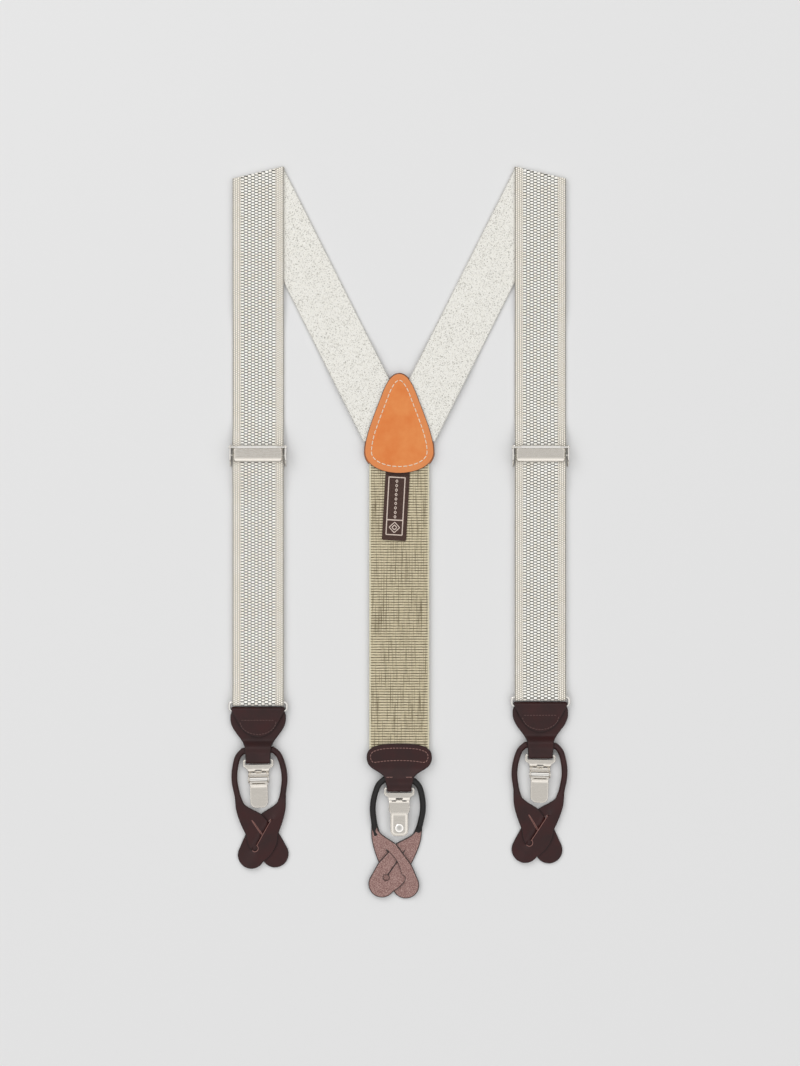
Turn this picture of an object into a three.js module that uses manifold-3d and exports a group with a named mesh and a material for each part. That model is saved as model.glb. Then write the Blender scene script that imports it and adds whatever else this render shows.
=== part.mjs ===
// A Y-back pair of dress suspenders, laid flat: two front straps folded over at the shoulders,
// a leather yoke, an elastic rear strap, and three leather ends that each carry a rolled-leather
// button loop and a sheet-metal clip.
// Millimetres. +Y runs to the shoulders, +X to the right, +Z up from the surface it lies on.
// The origin is the centre of the yoke's underside.

import * as THREE from "three";
import { mergeVertices } from "three/addons/utils/BufferGeometryUtils.js";
import Module from "manifold-3d";

const wasm = await Module();
wasm.setup();

// ---- Driving dimensions ----

// Webbing and leather
const WEB_WIDTH = 35;
const WEB_THICK = 1.3;
const REAR_WEB_WIDTH = 41;
const REAR_WEB_THICK = 1.3;
const LEATHER_THICK = 1.3;
const CORD_DIAMETER = 4.1;

// Clearances
const LAYER_GAP = 0.3; // between two layers that lie on each other
const WRAP_GAP = 0.15; // between a bar and the fold around it
const PIN_GAP = 0.1; // between a pin and its hole
const SIDE_GAP = 0.3; // between a moving plate and the cheek beside it
const FACE_GAP = 0.05; // between two metal faces that are riveted together

// Layout
const STRAP_SPREAD = 96.5; // each front strap's centre line from the middle
const SHOULDER_Y = 170.7; // where the shoulder crease crosses that centre line
const CROSSING_Y = -22; // where the back straps' centre lines would meet
const ADJUSTER_Y = -20.5;
const LEFT_RING_Y = -190.4;
const RIGHT_RING_Y = -187;
const REAR_END_Y = -218.5;

// Yoke
const YOKE_TOP = 34.9;
const YOKE_BOTTOM = -34.5;
const YOKE_HALF_WIDTH = 24.2;
const YOKE_SHOULDER = 12.8; // its half width where the sides turn in to the rounded top
const YOKE_EDGE = 0.6; // how far the outer leaf shows round the inner one
const REAR_WEB_TOP = -12.2; // the rear strap's upper end, inside the yoke

// Label
const LABEL_WIDTH = 16.6;
const LABEL_LENGTH = 44.5;
const LABEL_THICK = 0.5;
const LABEL_X = -1.2;
const LABEL_TILT = -3.1; // degrees

// Adjuster
const BAR_WIRE = 1.6;
const BAR_OFFSET = -1; // the bar's place below the adjuster's centre
const TAIL_LENGTH = 16;
const CHEEK_THICK = 1.2;
const CHEEK_GAP = 0.75; // from the strap's edge to the cheek
const LEVER_LENGTH = 11.3;
const LEVER_INSET = 1.2; // from the strap's edge to the lever's edge
const LEVER_CHAMFER = 2.6;
const SHEET = 1;
const PIN_DIAMETER = 1.4;
const KNUCKLE_WALL = 0.5;

// Wire ring
const RING_WIRE = 2;
const RING_SIDE_GAP = 1.1; // from the strap's edge to the ring's side
const RING_CORNER = 1.8;
const RING_LIFT = 0.45; // the folds' height over the surface
const FOLD_GAP = 0.7; // between the strap's fold and the leather's fold

// Front leather end, measured down from its folded top edge
const FLAP_LENGTH = 20.5;
const END_FULL_WIDTH_TO = 9.3;
const END_NECK_FROM = 27.2;
const END_TO_CORD = 29.8;
const END_FLARE = 0.7; // how much wider the end is than its fold
const NECK_TOP = 9.1; // half width where the neck starts
const NECK_SIDE_GAP = 0.5; // from the neck to the sides of the clip's window
const BACK_LAYER_TOP = 12;

// Rear leather end, measured down from its top edge
const REAR_HEAD_HALF = 22.3;
const REAR_HEAD_WIDEST_AT = 9.3;
const REAR_NECK_FROM = 22.6;
const REAR_TO_CORD = 25.3;
const REAR_WEB_OVERLAP = 17;

// Button loop, measured from the middle of the cord where it passes through the neck
const CORD_LIFT = 0.2; // between the cord and the leather under it
const CORD_STRAIGHT = 1.3; // how far the cord runs on straight outside the neck
const CORD_REST_GAP = 0.12; // from the cord's low side to the surface it lies on
const LOOP_HALF_WIDTH = 17.1;
const LOBE_RADIUS = 9.3;
const LOBE_X = 8.1;
const LOBE_DROP = 71.4;
const KEYHOLE_RADIUS = 2.2;
const KEYHOLE_RISE = 4.6; // from the lobe's centre up to the keyhole
const SLIT_WIDTH = 0.8;
const SLIT_LENGTH = 22.6;
const LEFT_LOOP_TILT = 2.7; // degrees
const RIGHT_LOOP_TILT = -1.8;
const REAR_LOOP_TILT = -3;

// Clip, measured from its bar
const CORD_TO_CLIP_BAR = 6.7;
const REAR_CORD_TO_CLIP_BAR = 5.5;
const CLIP_FOLD_INNER = 1;
const CLIP_BAR_DEPTH = 1.2;
const CLIP_BAR_LIFT = 0.7; // from the surface up to the leather folded round the bar
const CLIP_RING_HALF = 10.4;
const CLIP_RING_WALL = 1.5;
const CLIP_WINDOW = 3; // from the bar's centre to the window's far side
const CLIP_LENGTH = 32.4;
const CLIP_PIN_AT = 12.8;
const CLIP_PIN_RISE = 0.9;
const CLIP_COLLAR_HALF = 7.1;
const CLIP_COLLAR_LENGTH = 5.3;
const CLIP_EAR_THICK = 0.8;
const CLIP_JAW_HALF = 6.1;
const CLIP_JAW_DROP = 1.8; // from the bar down to the middle of the jaw plate
const CLIP_CORNER = 3.8;
const KNUCKLE_RADIUS = 1.7;
const PAD_THICK = 1.1;
const PAD_INSET = 0.7;
const PAD_LENGTH = 12.5;
const RIVET_AT = 27;
const RIVET_SHANK = 1.2;
const RIVET_HEAD = 3;
const RIVET_HEAD_THICK = 0.4;
const LEFT_CLIP_TILT = 1.5; // degrees
const RIGHT_CLIP_TILT = -1.5;

// ---- Derived places ----

const lean = Math.atan2(STRAP_SPREAD, SHOULDER_Y - CROSSING_Y);
const crease = lean / 2; // folding a strap turns it by twice the crease's own angle
const returnMid = WEB_THICK / 2; // heights of the middle of each layer
const faceMid = returnMid + WEB_THICK + LAYER_GAP;
const barZ = BAR_WIRE / 2 + WRAP_GAP + WEB_THICK;
const adjusterFaceMid = 2 * barZ + LAYER_GAP + WEB_THICK / 2;
const leverZ = adjusterFaceMid + WEB_THICK / 2 + LAYER_GAP;
const knuckleRadius = PIN_DIAMETER / 2 + PIN_GAP + KNUCKLE_WALL;
const leverPinZ = leverZ + knuckleRadius;
const leverPinY = LEVER_LENGTH / 2 - knuckleRadius;
const cheekInner = WEB_WIDTH / 2 + CHEEK_GAP;

const ringInner = WEB_WIDTH / 2 + RING_SIDE_GAP;
const ringZ = RING_WIRE / 2 + WRAP_GAP + Math.max(WEB_THICK, LEATHER_THICK) + RING_LIFT;
const strapFold = RING_WIRE / 2 + WRAP_GAP + WEB_THICK / 2;
const leatherFold = RING_WIRE / 2 + WRAP_GAP + LEATHER_THICK / 2;
const barSpacing = strapFold + leatherFold + (WEB_THICK + LEATHER_THICK) / 2 + FOLD_GAP;

const backLayerMid = LEATHER_THICK / 2;
const bodyLayerMid = backLayerMid + LEATHER_THICK + LAYER_GAP;
const flapMid = bodyLayerMid + LEATHER_THICK + LAYER_GAP;
const cordRadius = CORD_DIAMETER / 2;
const cordZ = LEATHER_THICK + CORD_LIFT + cordRadius;
const bulgeMid = cordZ + cordRadius + LAYER_GAP + LEATHER_THICK / 2;
const clipFold = CLIP_FOLD_INNER + LEATHER_THICK / 2;
const clipBarZ = clipFold + LEATHER_THICK / 2 + CLIP_BAR_LIFT;
const neckBottom = CLIP_RING_HALF - CLIP_RING_WALL - NECK_SIDE_GAP; // half width at the clip's bar

const yokeWebMid = LEATHER_THICK + LAYER_GAP + WEB_THICK / 2;
const yokeRearWebMid = LEATHER_THICK + LAYER_GAP + REAR_WEB_THICK / 2;
const innerLeafZ = LEATHER_THICK + 2 * LAYER_GAP + Math.max(WEB_THICK, REAR_WEB_THICK);
const labelZ = LEATHER_THICK + 2 * LAYER_GAP + REAR_WEB_THICK;

// ---- Materials ----

function finish(color, roughness, metalness = 0) {
  return new THREE.MeshStandardMaterial({ color, roughness, metalness });
}

const ivoryWebbing = finish(0xefe9dc, 0.9);
const khakiElastic = finish(0xb5a98a, 0.9);
const tanLeather = finish(0xd9824a, 0.55);
const darkLeather = finish(0x3d1c1c, 0.4);
const nickel = finish(0xc9c6c0, 0.25, 1);
const nylon = finish(0xe6e4dd, 0.5);
const wovenLabel = finish(0x3b2620, 0.85);

// ---- Solids ----

// A closed geometry as a manifold-3d solid, for joining and cutting.
function toSolid(geometry) {
  const bare = geometry.clone();
  bare.deleteAttribute("normal");
  bare.deleteAttribute("uv");
  const merged = mergeVertices(bare, 1e-4);
  return new wasm.Manifold(
    new wasm.Mesh({
      numProp: 3,
      vertProperties: merged.attributes.position.array,
      triVerts: new Uint32Array(merged.index.array),
    }),
  );
}

function toGeometry(solid) {
  const mesh = solid.getMesh();
  const geometry = new THREE.BufferGeometry();
  geometry.setAttribute("position", new THREE.BufferAttribute(mesh.vertProperties, 3));
  geometry.setIndex(new THREE.BufferAttribute(mesh.triVerts, 1));
  geometry.computeVertexNormals();
  return geometry;
}

// A mesh from one solid, named and with its finish.
function piece(name, solid, material) {
  const mesh = new THREE.Mesh(toGeometry(solid), material);
  mesh.name = name;
  return mesh;
}

// A plan outline made thick from z0 to z1.
function slab(shape, z0, z1) {
  const geometry = new THREE.ExtrudeGeometry(shape, {
    depth: z1 - z0,
    bevelEnabled: false,
    curveSegments: 8,
  });
  return toSolid(geometry.translate(0, 0, z0));
}

const SIDEWAYS = new THREE.Matrix4().makeBasis(
  new THREE.Vector3(0, 1, 0),
  new THREE.Vector3(0, 0, 1),
  new THREE.Vector3(1, 0, 0),
);

// A side view, drawn as (y, z), made into a bar of this width across X.
function sideways(shape, width) {
  const geometry = new THREE.ExtrudeGeometry(shape, {
    depth: width,
    bevelEnabled: false,
    curveSegments: 8,
  });
  return toSolid(geometry.translate(0, 0, -width / 2).applyMatrix4(SIDEWAYS));
}

function box(x0, x1, y0, y1, z0, z1) {
  const geometry = new THREE.BoxGeometry(x1 - x0, y1 - y0, z1 - z0);
  return toSolid(geometry.translate((x0 + x1) / 2, (y0 + y1) / 2, (z0 + z1) / 2));
}

// A rod along X.
function rod(radius, x0, x1, y, z, sides = 16) {
  const geometry = new THREE.CylinderGeometry(radius, radius, x1 - x0, sides);
  geometry.rotateZ(Math.PI / 2);
  return toSolid(geometry.translate((x0 + x1) / 2, y, z));
}

// An upright rod.
function post(radius, x, y, z0, z1, sides = 16) {
  const geometry = new THREE.CylinderGeometry(radius, radius, z1 - z0, sides);
  geometry.rotateX(Math.PI / 2);
  return toSolid(geometry.translate(x, y, (z0 + z1) / 2));
}

// Points of an arc about (y, z), from one angle to another in degrees, +Y being 0 and +Z 90.
function arc(y, z, radius, from, to, steps = 10) {
  return Array.from({ length: steps + 1 }, (_, i) => {
    const angle = THREE.MathUtils.degToRad(from + ((to - from) * i) / steps);
    return [y + radius * Math.cos(angle), z + radius * Math.sin(angle)];
  });
}

// The side view of a band of even thickness that follows a line of [y, z] points.
function band(line, thickness) {
  const points = line.map(([y, z]) => new THREE.Vector2(y, z));
  const edge = (side) =>
    points.map((p, i) => {
      const before = points[Math.max(i - 1, 0)];
      const after = points[Math.min(i + 1, points.length - 1)];
      const into = p.clone().sub(before).normalize();
      const out = after.clone().sub(p).normalize();
      if (i === 0) into.copy(out);
      if (i === points.length - 1) out.copy(into);
      const along = into.clone().add(out).normalize();
      const normal = new THREE.Vector2(-along.y, along.x);
      const reach = (side * thickness) / 2 / Math.sqrt((1 + into.dot(out)) / 2);
      return p.clone().addScaledVector(normal, reach);
    });
  return new THREE.Shape([...edge(1), ...edge(-1).reverse()]);
}

// An outline that is the same on both sides of x = 0, from its right half.
function symmetric(draw) {
  const path = new THREE.Path();
  draw(path);
  const right = path.getPoints(8);
  const left = right.filter((p) => p.x > 1e-6).map((p) => new THREE.Vector2(-p.x, p.y));
  return new THREE.Shape([...right, ...left.reverse()]);
}

// A polygon from [x, y] pairs.
function polygon(corners) {
  return new THREE.Shape(corners.map(([x, y]) => new THREE.Vector2(x, y)));
}

const TALL = 60; // more than any piece's height, for cutting right through

function cookieCut(solid, shape) {
  return solid.intersect(slab(shape, -TALL, TALL));
}

// ---- Webbing ----

// The front strap from the shoulder crease down to the adjuster, about its own centre line.
function frontStrap(side) {
  const cutY = ADJUSTER_Y + LAYER_GAP / 2;
  const clearOfBackStrap = SHOULDER_Y - WEB_WIDTH / Math.sin(lean) - 10;
  const line = [
    [cutY, adjusterFaceMid],
    [ADJUSTER_Y + 4, adjusterFaceMid],
    [ADJUSTER_Y + 22, returnMid],
    [clearOfBackStrap - 18, returnMid],
    [clearOfBackStrap, faceMid],
    [SHOULDER_Y + WEB_WIDTH, faceMid],
  ];
  const half = WEB_WIDTH / 2;
  const gap = LAYER_GAP / 2 / Math.cos(crease);
  const topAt = (x) => SHOULDER_Y - gap - side * Math.tan(crease) * x;
  const outline = polygon([
    [-half, cutY - 1],
    [half, cutY - 1],
    [half, topAt(half)],
    [-half, topAt(-half)],
  ]);
  return cookieCut(sideways(band(line, WEB_THICK), WEB_WIDTH + 2), outline);
}

// The strap from the adjuster down, round the ring's upper bar and back up behind itself, round the
// adjuster's bar and down again as a sewn tail.
function strapLoop(ringY) {
  const barY = ADJUSTER_Y + BAR_OFFSET;
  const barFold = BAR_WIRE / 2 + WRAP_GAP + WEB_THICK / 2;
  const line = [
    [barY - TAIL_LENGTH, faceMid],
    [barY - 6, faceMid],
    ...arc(barY, barZ, barFold, 90, -90),
    [barY - 8, returnMid],
    [ringY + 9, returnMid],
    ...arc(ringY, ringZ, strapFold, 270, 90),
    [ringY + 11, faceMid],
    [barY - TAIL_LENGTH - 9, faceMid],
    [barY - TAIL_LENGTH - 2, faceMid + WEB_THICK + LAYER_GAP],
    [barY - 6.8, faceMid + WEB_THICK + LAYER_GAP],
    [barY - 0.8, adjusterFaceMid],
    [ADJUSTER_Y - LAYER_GAP / 2, adjusterFaceMid],
  ];
  return sideways(band(line, WEB_THICK), WEB_WIDTH);
}

// The strap behind the shoulder crease, from there to the yoke, where it meets its twin.
function backStrap(side) {
  const length = STRAP_SPREAD / Math.sin(lean);
  const yokeEdge = -length + (YOKE_TOP - CROSSING_Y) / Math.cos(lean) + 3;
  const line = [
    [WEB_WIDTH, returnMid],
    [yokeEdge + 24, returnMid],
    [yokeEdge, yokeWebMid],
    [-length - WEB_WIDTH, yokeWebMid],
  ];
  const half = WEB_WIDTH / 2;
  const gap = LAYER_GAP / 2 / Math.cos(crease);
  const topAt = (x) => -gap + side * Math.tan(crease) * x;
  const outline = polygon([
    [-half, -length - WEB_WIDTH],
    [half, -length - WEB_WIDTH],
    [half, topAt(half)],
    [-half, topAt(-half)],
  ]);
  const placed = cookieCut(sideways(band(line, WEB_THICK), WEB_WIDTH + 2), outline)
    .rotate([0, 0, THREE.MathUtils.radToDeg(-side * lean)])
    .translate([side * STRAP_SPREAD, SHOULDER_Y, 0]);
  const far = 2 * STRAP_SPREAD;
  const bottom = REAR_WEB_TOP + LAYER_GAP;
  const middle = LAYER_GAP / 2;
  const keep =
    side > 0
      ? box(middle, far, bottom, 2 * SHOULDER_Y, -TALL, TALL)
      : box(-far, -middle, bottom, 2 * SHOULDER_Y, -TALL, TALL);
  return placed.intersect(keep);
}

// The elastic is straight from inside the yoke to inside the rear leather end, held off the surface by
// the leather under its two ends.
function rearStrap() {
  const line = [
    [REAR_WEB_TOP, yokeRearWebMid],
    [REAR_END_Y - REAR_WEB_OVERLAP, yokeRearWebMid],
  ];
  return sideways(band(line, REAR_WEB_THICK), REAR_WEB_WIDTH);
}

// ---- Yoke and label ----

// The yoke's outline: widest low down, with a rounded point at the top.
function yokeShape(inset) {
  const half = YOKE_HALF_WIDTH - inset;
  const top = YOKE_TOP - inset;
  const bottom = YOKE_BOTTOM + inset;
  const shoulder = YOKE_SHOULDER - inset;
  const height = top - bottom;
  const widestY = bottom + 0.216 * height;
  const shoulderY = bottom + 0.78 * height;
  return symmetric((path) => {
    path.moveTo(0, top);
    path.bezierCurveTo(0.5 * shoulder, top, 0.82 * shoulder, shoulderY + 0.42 * (top - shoulderY),
      shoulder, shoulderY);
    path.bezierCurveTo(0.8 * half, shoulderY - 0.45 * (shoulderY - widestY),
      half, widestY + 0.25 * (shoulderY - widestY), half, widestY);
    path.bezierCurveTo(half, widestY - 0.66 * (widestY - bottom), 0.5 * half, bottom, 0, bottom);
  });
}

function label() {
  return slab(
    polygon([
      [-LABEL_WIDTH / 2, -LABEL_LENGTH],
      [LABEL_WIDTH / 2, -LABEL_LENGTH],
      [LABEL_WIDTH / 2, 0],
      [-LABEL_WIDTH / 2, 0],
    ]),
    0,
    LABEL_THICK,
  );
}

// ---- Adjuster: about its own centre, z = 0 being the surface the suspenders lie on ----

function adjusterFrame() {
  const outer = cheekInner + CHEEK_THICK;
  const top = leverPinZ + knuckleRadius;
  const high = LEVER_LENGTH / 2 + 0.4;
  const low = -LEVER_LENGTH / 2;
  const cheek = polygon([
    [high, 0.6],
    [high, top],
    [low + 1, top],
    [low - 3.4, barZ + 1],
    [low - 3.4, 0.6],
  ]);
  const hole = PIN_DIAMETER / 2 + PIN_GAP;
  return sideways(cheek, 2 * outer)
    .subtract(box(-cheekInner, cheekInner, low - 10, high + 10, -TALL, TALL))
    .add(rod(BAR_WIRE / 2, -outer + 0.2, outer - 0.2, BAR_OFFSET, barZ))
    .add(box(-outer + 0.2, outer - 0.2, high - 2.4, high, 1.2, 1.2 + SHEET))
    .subtract(rod(hole, -outer - 1, outer + 1, leverPinY, leverPinZ));
}

function adjusterLever() {
  const half = WEB_WIDTH / 2 - LEVER_INSET;
  const high = LEVER_LENGTH / 2;
  const plate = symmetric((path) => {
    path.moveTo(half - LEVER_CHAMFER, high);
    path.lineTo(half, high - 0.75 * LEVER_CHAMFER);
    path.lineTo(half, -high);
    path.lineTo(0, -high);
  });
  const edge = half - LEVER_CHAMFER - 0.5;
  return slab(plate, leverZ, leverZ + SHEET)
    .add(rod(knuckleRadius, -edge, edge, leverPinY, leverPinZ))
    .subtract(rod(PIN_DIAMETER / 2 + PIN_GAP, -half - 1, half + 1, leverPinY, leverPinZ));
}

// A pin along X with a low head outside each of the two plates it joins.
function headedPin(radius, plateOuter, y, z) {
  const head = 1.6 * radius;
  const inside = plateOuter + FACE_GAP;
  return rod(radius, -inside - 0.3, inside + 0.3, y, z)
    .add(rod(head, inside, inside + 0.4, y, z))
    .add(rod(head, -inside - 0.4, -inside, y, z));
}

// ---- Wire ring: about the middle of its upper bar ----

function wireRing() {
  const radius = RING_WIRE / 2;
  const half = ringInner + radius;
  const bar = half - RING_CORNER;
  const path = new THREE.CurvePath();
  const corner = (sx, y, down) => {
    const side = new THREE.Vector3(sx * half, y - down * RING_CORNER, 0);
    const end = new THREE.Vector3(sx * bar, y, 0);
    return [side, new THREE.Vector3(sx * half, y, 0), end];
  };
  const [rightTopSide, rightTopMid, rightTopBar] = corner(1, 0, 1);
  const [leftTopSide, leftTopMid, leftTopBar] = corner(-1, 0, 1);
  const [rightLowSide, rightLowMid, rightLowBar] = corner(1, -barSpacing, -1);
  const [leftLowSide, leftLowMid, leftLowBar] = corner(-1, -barSpacing, -1);
  path.add(new THREE.LineCurve3(leftTopBar, rightTopBar));
  path.add(new THREE.QuadraticBezierCurve3(rightTopBar, rightTopMid, rightTopSide));
  path.add(new THREE.LineCurve3(rightTopSide, rightLowSide));
  path.add(new THREE.QuadraticBezierCurve3(rightLowSide, rightLowMid, rightLowBar));
  path.add(new THREE.LineCurve3(rightLowBar, leftLowBar));
  path.add(new THREE.QuadraticBezierCurve3(leftLowBar, leftLowMid, leftLowSide));
  path.add(new THREE.LineCurve3(leftLowSide, leftTopSide));
  path.add(new THREE.QuadraticBezierCurve3(leftTopSide, leftTopMid, leftTopBar));
  return toSolid(new THREE.TubeGeometry(path, 64, radius, 8, true));
}

// ---- Leather ends: the front one is about the ring's lower bar ----

const endTop = leatherFold + LEATHER_THICK / 2;
const endCordY = endTop - END_TO_CORD;
const endBarY = endCordY - CORD_TO_CLIP_BAR;

// The band's way over the cord and round the clip's bar, down the neck and back up behind it.
function neckLine(cordY, barY, backTop) {
  return [
    [cordY + cordRadius + 5, bodyLayerMid],
    [cordY + cordRadius + 0.6, bulgeMid - LEATHER_THICK / 2],
    [cordY + cordRadius - 0.7, bulgeMid],
    [cordY - cordRadius + 0.7, bulgeMid],
    [cordY - cordRadius - 0.9, bulgeMid - LEATHER_THICK / 2],
    ...arc(barY, clipBarZ, clipFold, 90, 270),
    [barY + 3, backLayerMid],
    [backTop, backLayerMid],
  ];
}

function frontEnd() {
  const foldHalf = ringInner - SIDE_GAP;
  const fullHalf = foldHalf + END_FLARE;
  const bottom = endBarY - clipFold - LEATHER_THICK;
  const fullTo = endTop - END_FULL_WIDTH_TO;
  const neckFrom = endTop - END_NECK_FROM;
  const body = symmetric((path) => {
    path.moveTo(foldHalf, endTop + 1);
    path.lineTo(foldHalf, -RING_WIRE / 2 - 0.6);
    path.lineTo(fullHalf, -RING_WIRE / 2 - 2.2);
    path.lineTo(fullHalf, fullTo);
    path.bezierCurveTo(fullHalf - 1, fullTo - 7.7, NECK_TOP + 2, neckFrom + 6.2, NECK_TOP, neckFrom);
    path.lineTo(neckBottom, endBarY + CLIP_BAR_DEPTH);
    path.lineTo(neckBottom, bottom);
  });
  const bodyLine = [
    ...arc(0, ringZ, leatherFold, 90, -90),
    [-7, bodyLayerMid],
    ...neckLine(endCordY, endBarY, endTop - BACK_LAYER_TOP),
  ];
  const tip = endTop - FLAP_LENGTH;
  const flap = symmetric((path) => {
    path.moveTo(foldHalf, endTop + 1);
    path.lineTo(foldHalf, 0.3);
    path.bezierCurveTo(0.8 * foldHalf, 0.34 * tip, 0.6 * foldHalf, tip, 0, tip);
  });
  const flapLine = [
    [tip - 1, flapMid],
    [-7, flapMid],
    ...arc(0, ringZ, leatherFold, 90, 60, 3),
  ];
  const width = 2 * fullHalf + 4;
  return cookieCut(sideways(band(bodyLine, LEATHER_THICK), width), body).add(
    cookieCut(sideways(band(flapLine, LEATHER_THICK), width), flap),
  );
}

const rearCordY = -REAR_TO_CORD;
const rearBarY = rearCordY - REAR_CORD_TO_CLIP_BAR;

// The rear end is about the middle of its top edge: a wide head that sandwiches the elastic, and a
// neck like the front one.
function rearEnd() {
  const half = REAR_HEAD_HALF;
  const widest = -REAR_HEAD_WIDEST_AT;
  const bottom = rearBarY - clipFold - LEATHER_THICK;
  const outline = symmetric((path) => {
    path.moveTo(0, 0);
    path.bezierCurveTo(0.4 * half, 0, 0.76 * half, -0.8, 0.9 * half, 0.42 * widest);
    path.bezierCurveTo(1.03 * half, 0.7 * widest, 1.03 * half, 1.25 * widest, 0.93 * half, 1.6 * widest);
    path.bezierCurveTo(0.82 * half, 1.95 * widest, NECK_TOP + 4, -REAR_NECK_FROM + 3.4,
      NECK_TOP + 1.2, -REAR_NECK_FROM);
    path.lineTo(neckBottom, rearBarY + CLIP_BAR_DEPTH);
    path.lineTo(neckBottom, bottom);
  });
  const topMid = LEATHER_THICK + 2 * LAYER_GAP + REAR_WEB_THICK + LEATHER_THICK / 2;
  const [first, ...rest] = neckLine(rearCordY, rearBarY, 1);
  const line = [[1, topMid], [first[0] + 1.5, topMid], ...rest];
  return cookieCut(sideways(band(line, LEATHER_THICK), 2 * half + 6), outline);
}

// ---- Button loop: about the middle of the cord inside the neck ----

// One flat tab, going from the upper right to the lower left, with its keyhole and slit.
function tabShape() {
  const lobeX = -LOBE_X;
  const lobeY = -LOBE_DROP;
  const rightSide = THREE.MathUtils.degToRad(-32);
  const leftSide = THREE.MathUtils.degToRad(-206);
  const shape = new THREE.Shape();
  shape.moveTo(LOOP_HALF_WIDTH + 0.2, lobeY + 35.4);
  shape.bezierCurveTo(LOOP_HALF_WIDTH + 0.2, lobeY + 28.4, LOOP_HALF_WIDTH - 3.1, lobeY + 20.4,
    LOOP_HALF_WIDTH - 6.5, lobeY + 12.9);
  shape.absarc(lobeX, lobeY, LOBE_RADIUS, rightSide, leftSide, true);
  shape.lineTo(lobeX - 3.4, lobeY + 14.1);
  shape.lineTo(-0.3, lobeY + 27.6);
  shape.bezierCurveTo(4, lobeY + 30.8, 9.4, lobeY + 32.4, LOOP_HALF_WIDTH - 4.5, lobeY + 36.6);
  return shape;
}

// The keyhole's place on that tab, and the way its slit runs.
const keyhole = new THREE.Vector2(-LOBE_X + 2.6, -LOBE_DROP + KEYHOLE_RISE);
const slitAngle = THREE.MathUtils.degToRad(32);

function tab(z0, mirror) {
  const slit = box(-SLIT_WIDTH / 2, SLIT_WIDTH / 2, 0, SLIT_LENGTH, -TALL, TALL)
    .rotate([0, 0, -THREE.MathUtils.radToDeg(slitAngle)])
    .translate([keyhole.x, keyhole.y, 0]);
  const solid = slab(tabShape(), z0, z0 + LEATHER_THICK)
    .subtract(post(KEYHOLE_RADIUS, keyhole.x, keyhole.y, -TALL, TALL))
    .subtract(slit);
  return mirror ? solid.mirror([1, 0, 0]) : solid;
}

function buttonLoop() {
  const low = cordRadius + CORD_REST_GAP - cordZ;
  const half = [
    [NECK_TOP - 2, 0, 0],
    [NECK_TOP, 0, 0],
    [NECK_TOP + CORD_STRAIGHT, 0, 0],
    [0.83 * LOOP_HALF_WIDTH, -4.2, 0.35 * low],
    [0.97 * LOOP_HALF_WIDTH, -12.6, low],
    [LOOP_HALF_WIDTH, -20.5, low],
    [LOOP_HALF_WIDTH - 1.1, -LOBE_DROP + 43.4, low],
    [LOOP_HALF_WIDTH - 3.3, -LOBE_DROP + 37, low],
    [LOOP_HALF_WIDTH - 4.8, -LOBE_DROP + 33.8, low],
  ];
  const right = half.map(([x, y, z]) => new THREE.Vector3(x, y, z));
  const left = half.map(([x, y, z]) => new THREE.Vector3(-x, y, z)).reverse();
  const route = new THREE.CatmullRomCurve3([...left, ...right]);
  const section = new THREE.Shape(
    Array.from({ length: 8 }, (_, i) => {
      const angle = (i * Math.PI) / 4;
      return new THREE.Vector2(cordRadius * Math.cos(angle), cordRadius * Math.sin(angle));
    }),
  );
  const cord = new THREE.ExtrudeGeometry(section, { steps: 44, extrudePath: route });
  const lowTab = -cordZ;
  const highTab = lowTab + LEATHER_THICK + LAYER_GAP;
  return toSolid(cord).add(tab(lowTab, true)).add(tab(highTab, false));
}

// ---- Clip: about the middle of its bar ----

const jawTop = -CLIP_JAW_DROP + SHEET / 2;
const padTop = jawTop + FACE_GAP + PAD_THICK;
const clipLeverZ = padTop + LAYER_GAP;
const collarTop = -CLIP_PIN_AT + CLIP_COLLAR_LENGTH / 2;
const collarBottom = -CLIP_PIN_AT - CLIP_COLLAR_LENGTH / 2;
const collarInner = CLIP_COLLAR_HALF - CLIP_EAR_THICK;

// A plate's rounded lower end, from the side at this half width to the middle.
function roundedEnd(path, half, end) {
  path.lineTo(half, end + CLIP_CORNER);
  path.quadraticCurveTo(half, end, half - CLIP_CORNER, end);
  path.lineTo(0, end);
}

function clipBody() {
  const bar = CLIP_BAR_DEPTH / 2;
  const line = [
    [bar, 0],
    [-6, 0],
    [-9.8, -CLIP_JAW_DROP],
    [-CLIP_LENGTH, -CLIP_JAW_DROP],
  ];
  const outline = symmetric((path) => {
    path.moveTo(CLIP_RING_HALF, bar);
    path.lineTo(CLIP_RING_HALF, -CLIP_WINDOW - 1.2);
    path.lineTo(CLIP_COLLAR_HALF + 0.6, -CLIP_WINDOW - 2.9);
    path.lineTo(CLIP_COLLAR_HALF, collarTop + 1.6);
    path.lineTo(CLIP_COLLAR_HALF, collarBottom);
    path.lineTo(CLIP_JAW_HALF, collarBottom - 1);
    roundedEnd(path, CLIP_JAW_HALF, -CLIP_LENGTH);
  });
  const window = CLIP_RING_HALF - CLIP_RING_WALL;
  const earTop = CLIP_PIN_RISE + KNUCKLE_RADIUS;
  const bottom = -CLIP_JAW_DROP - SHEET / 2;
  const ears = box(-CLIP_COLLAR_HALF, CLIP_COLLAR_HALF, collarBottom, collarTop, bottom, earTop)
    .subtract(box(-collarInner, collarInner, collarBottom - 1, collarTop + 1, -TALL, TALL));
  const hole = PIN_DIAMETER / 2 + PIN_GAP;
  return cookieCut(sideways(band(line, SHEET), 2 * CLIP_RING_HALF + 4), outline)
    .subtract(box(-window, window, -CLIP_WINDOW, -bar, -TALL, TALL))
    .add(ears)
    .subtract(rod(hole, -CLIP_RING_HALF, CLIP_RING_HALF, -CLIP_PIN_AT, CLIP_PIN_RISE))
    .subtract(post(RIVET_SHANK + PIN_GAP, 0, -RIVET_AT, -TALL, TALL));
}

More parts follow.
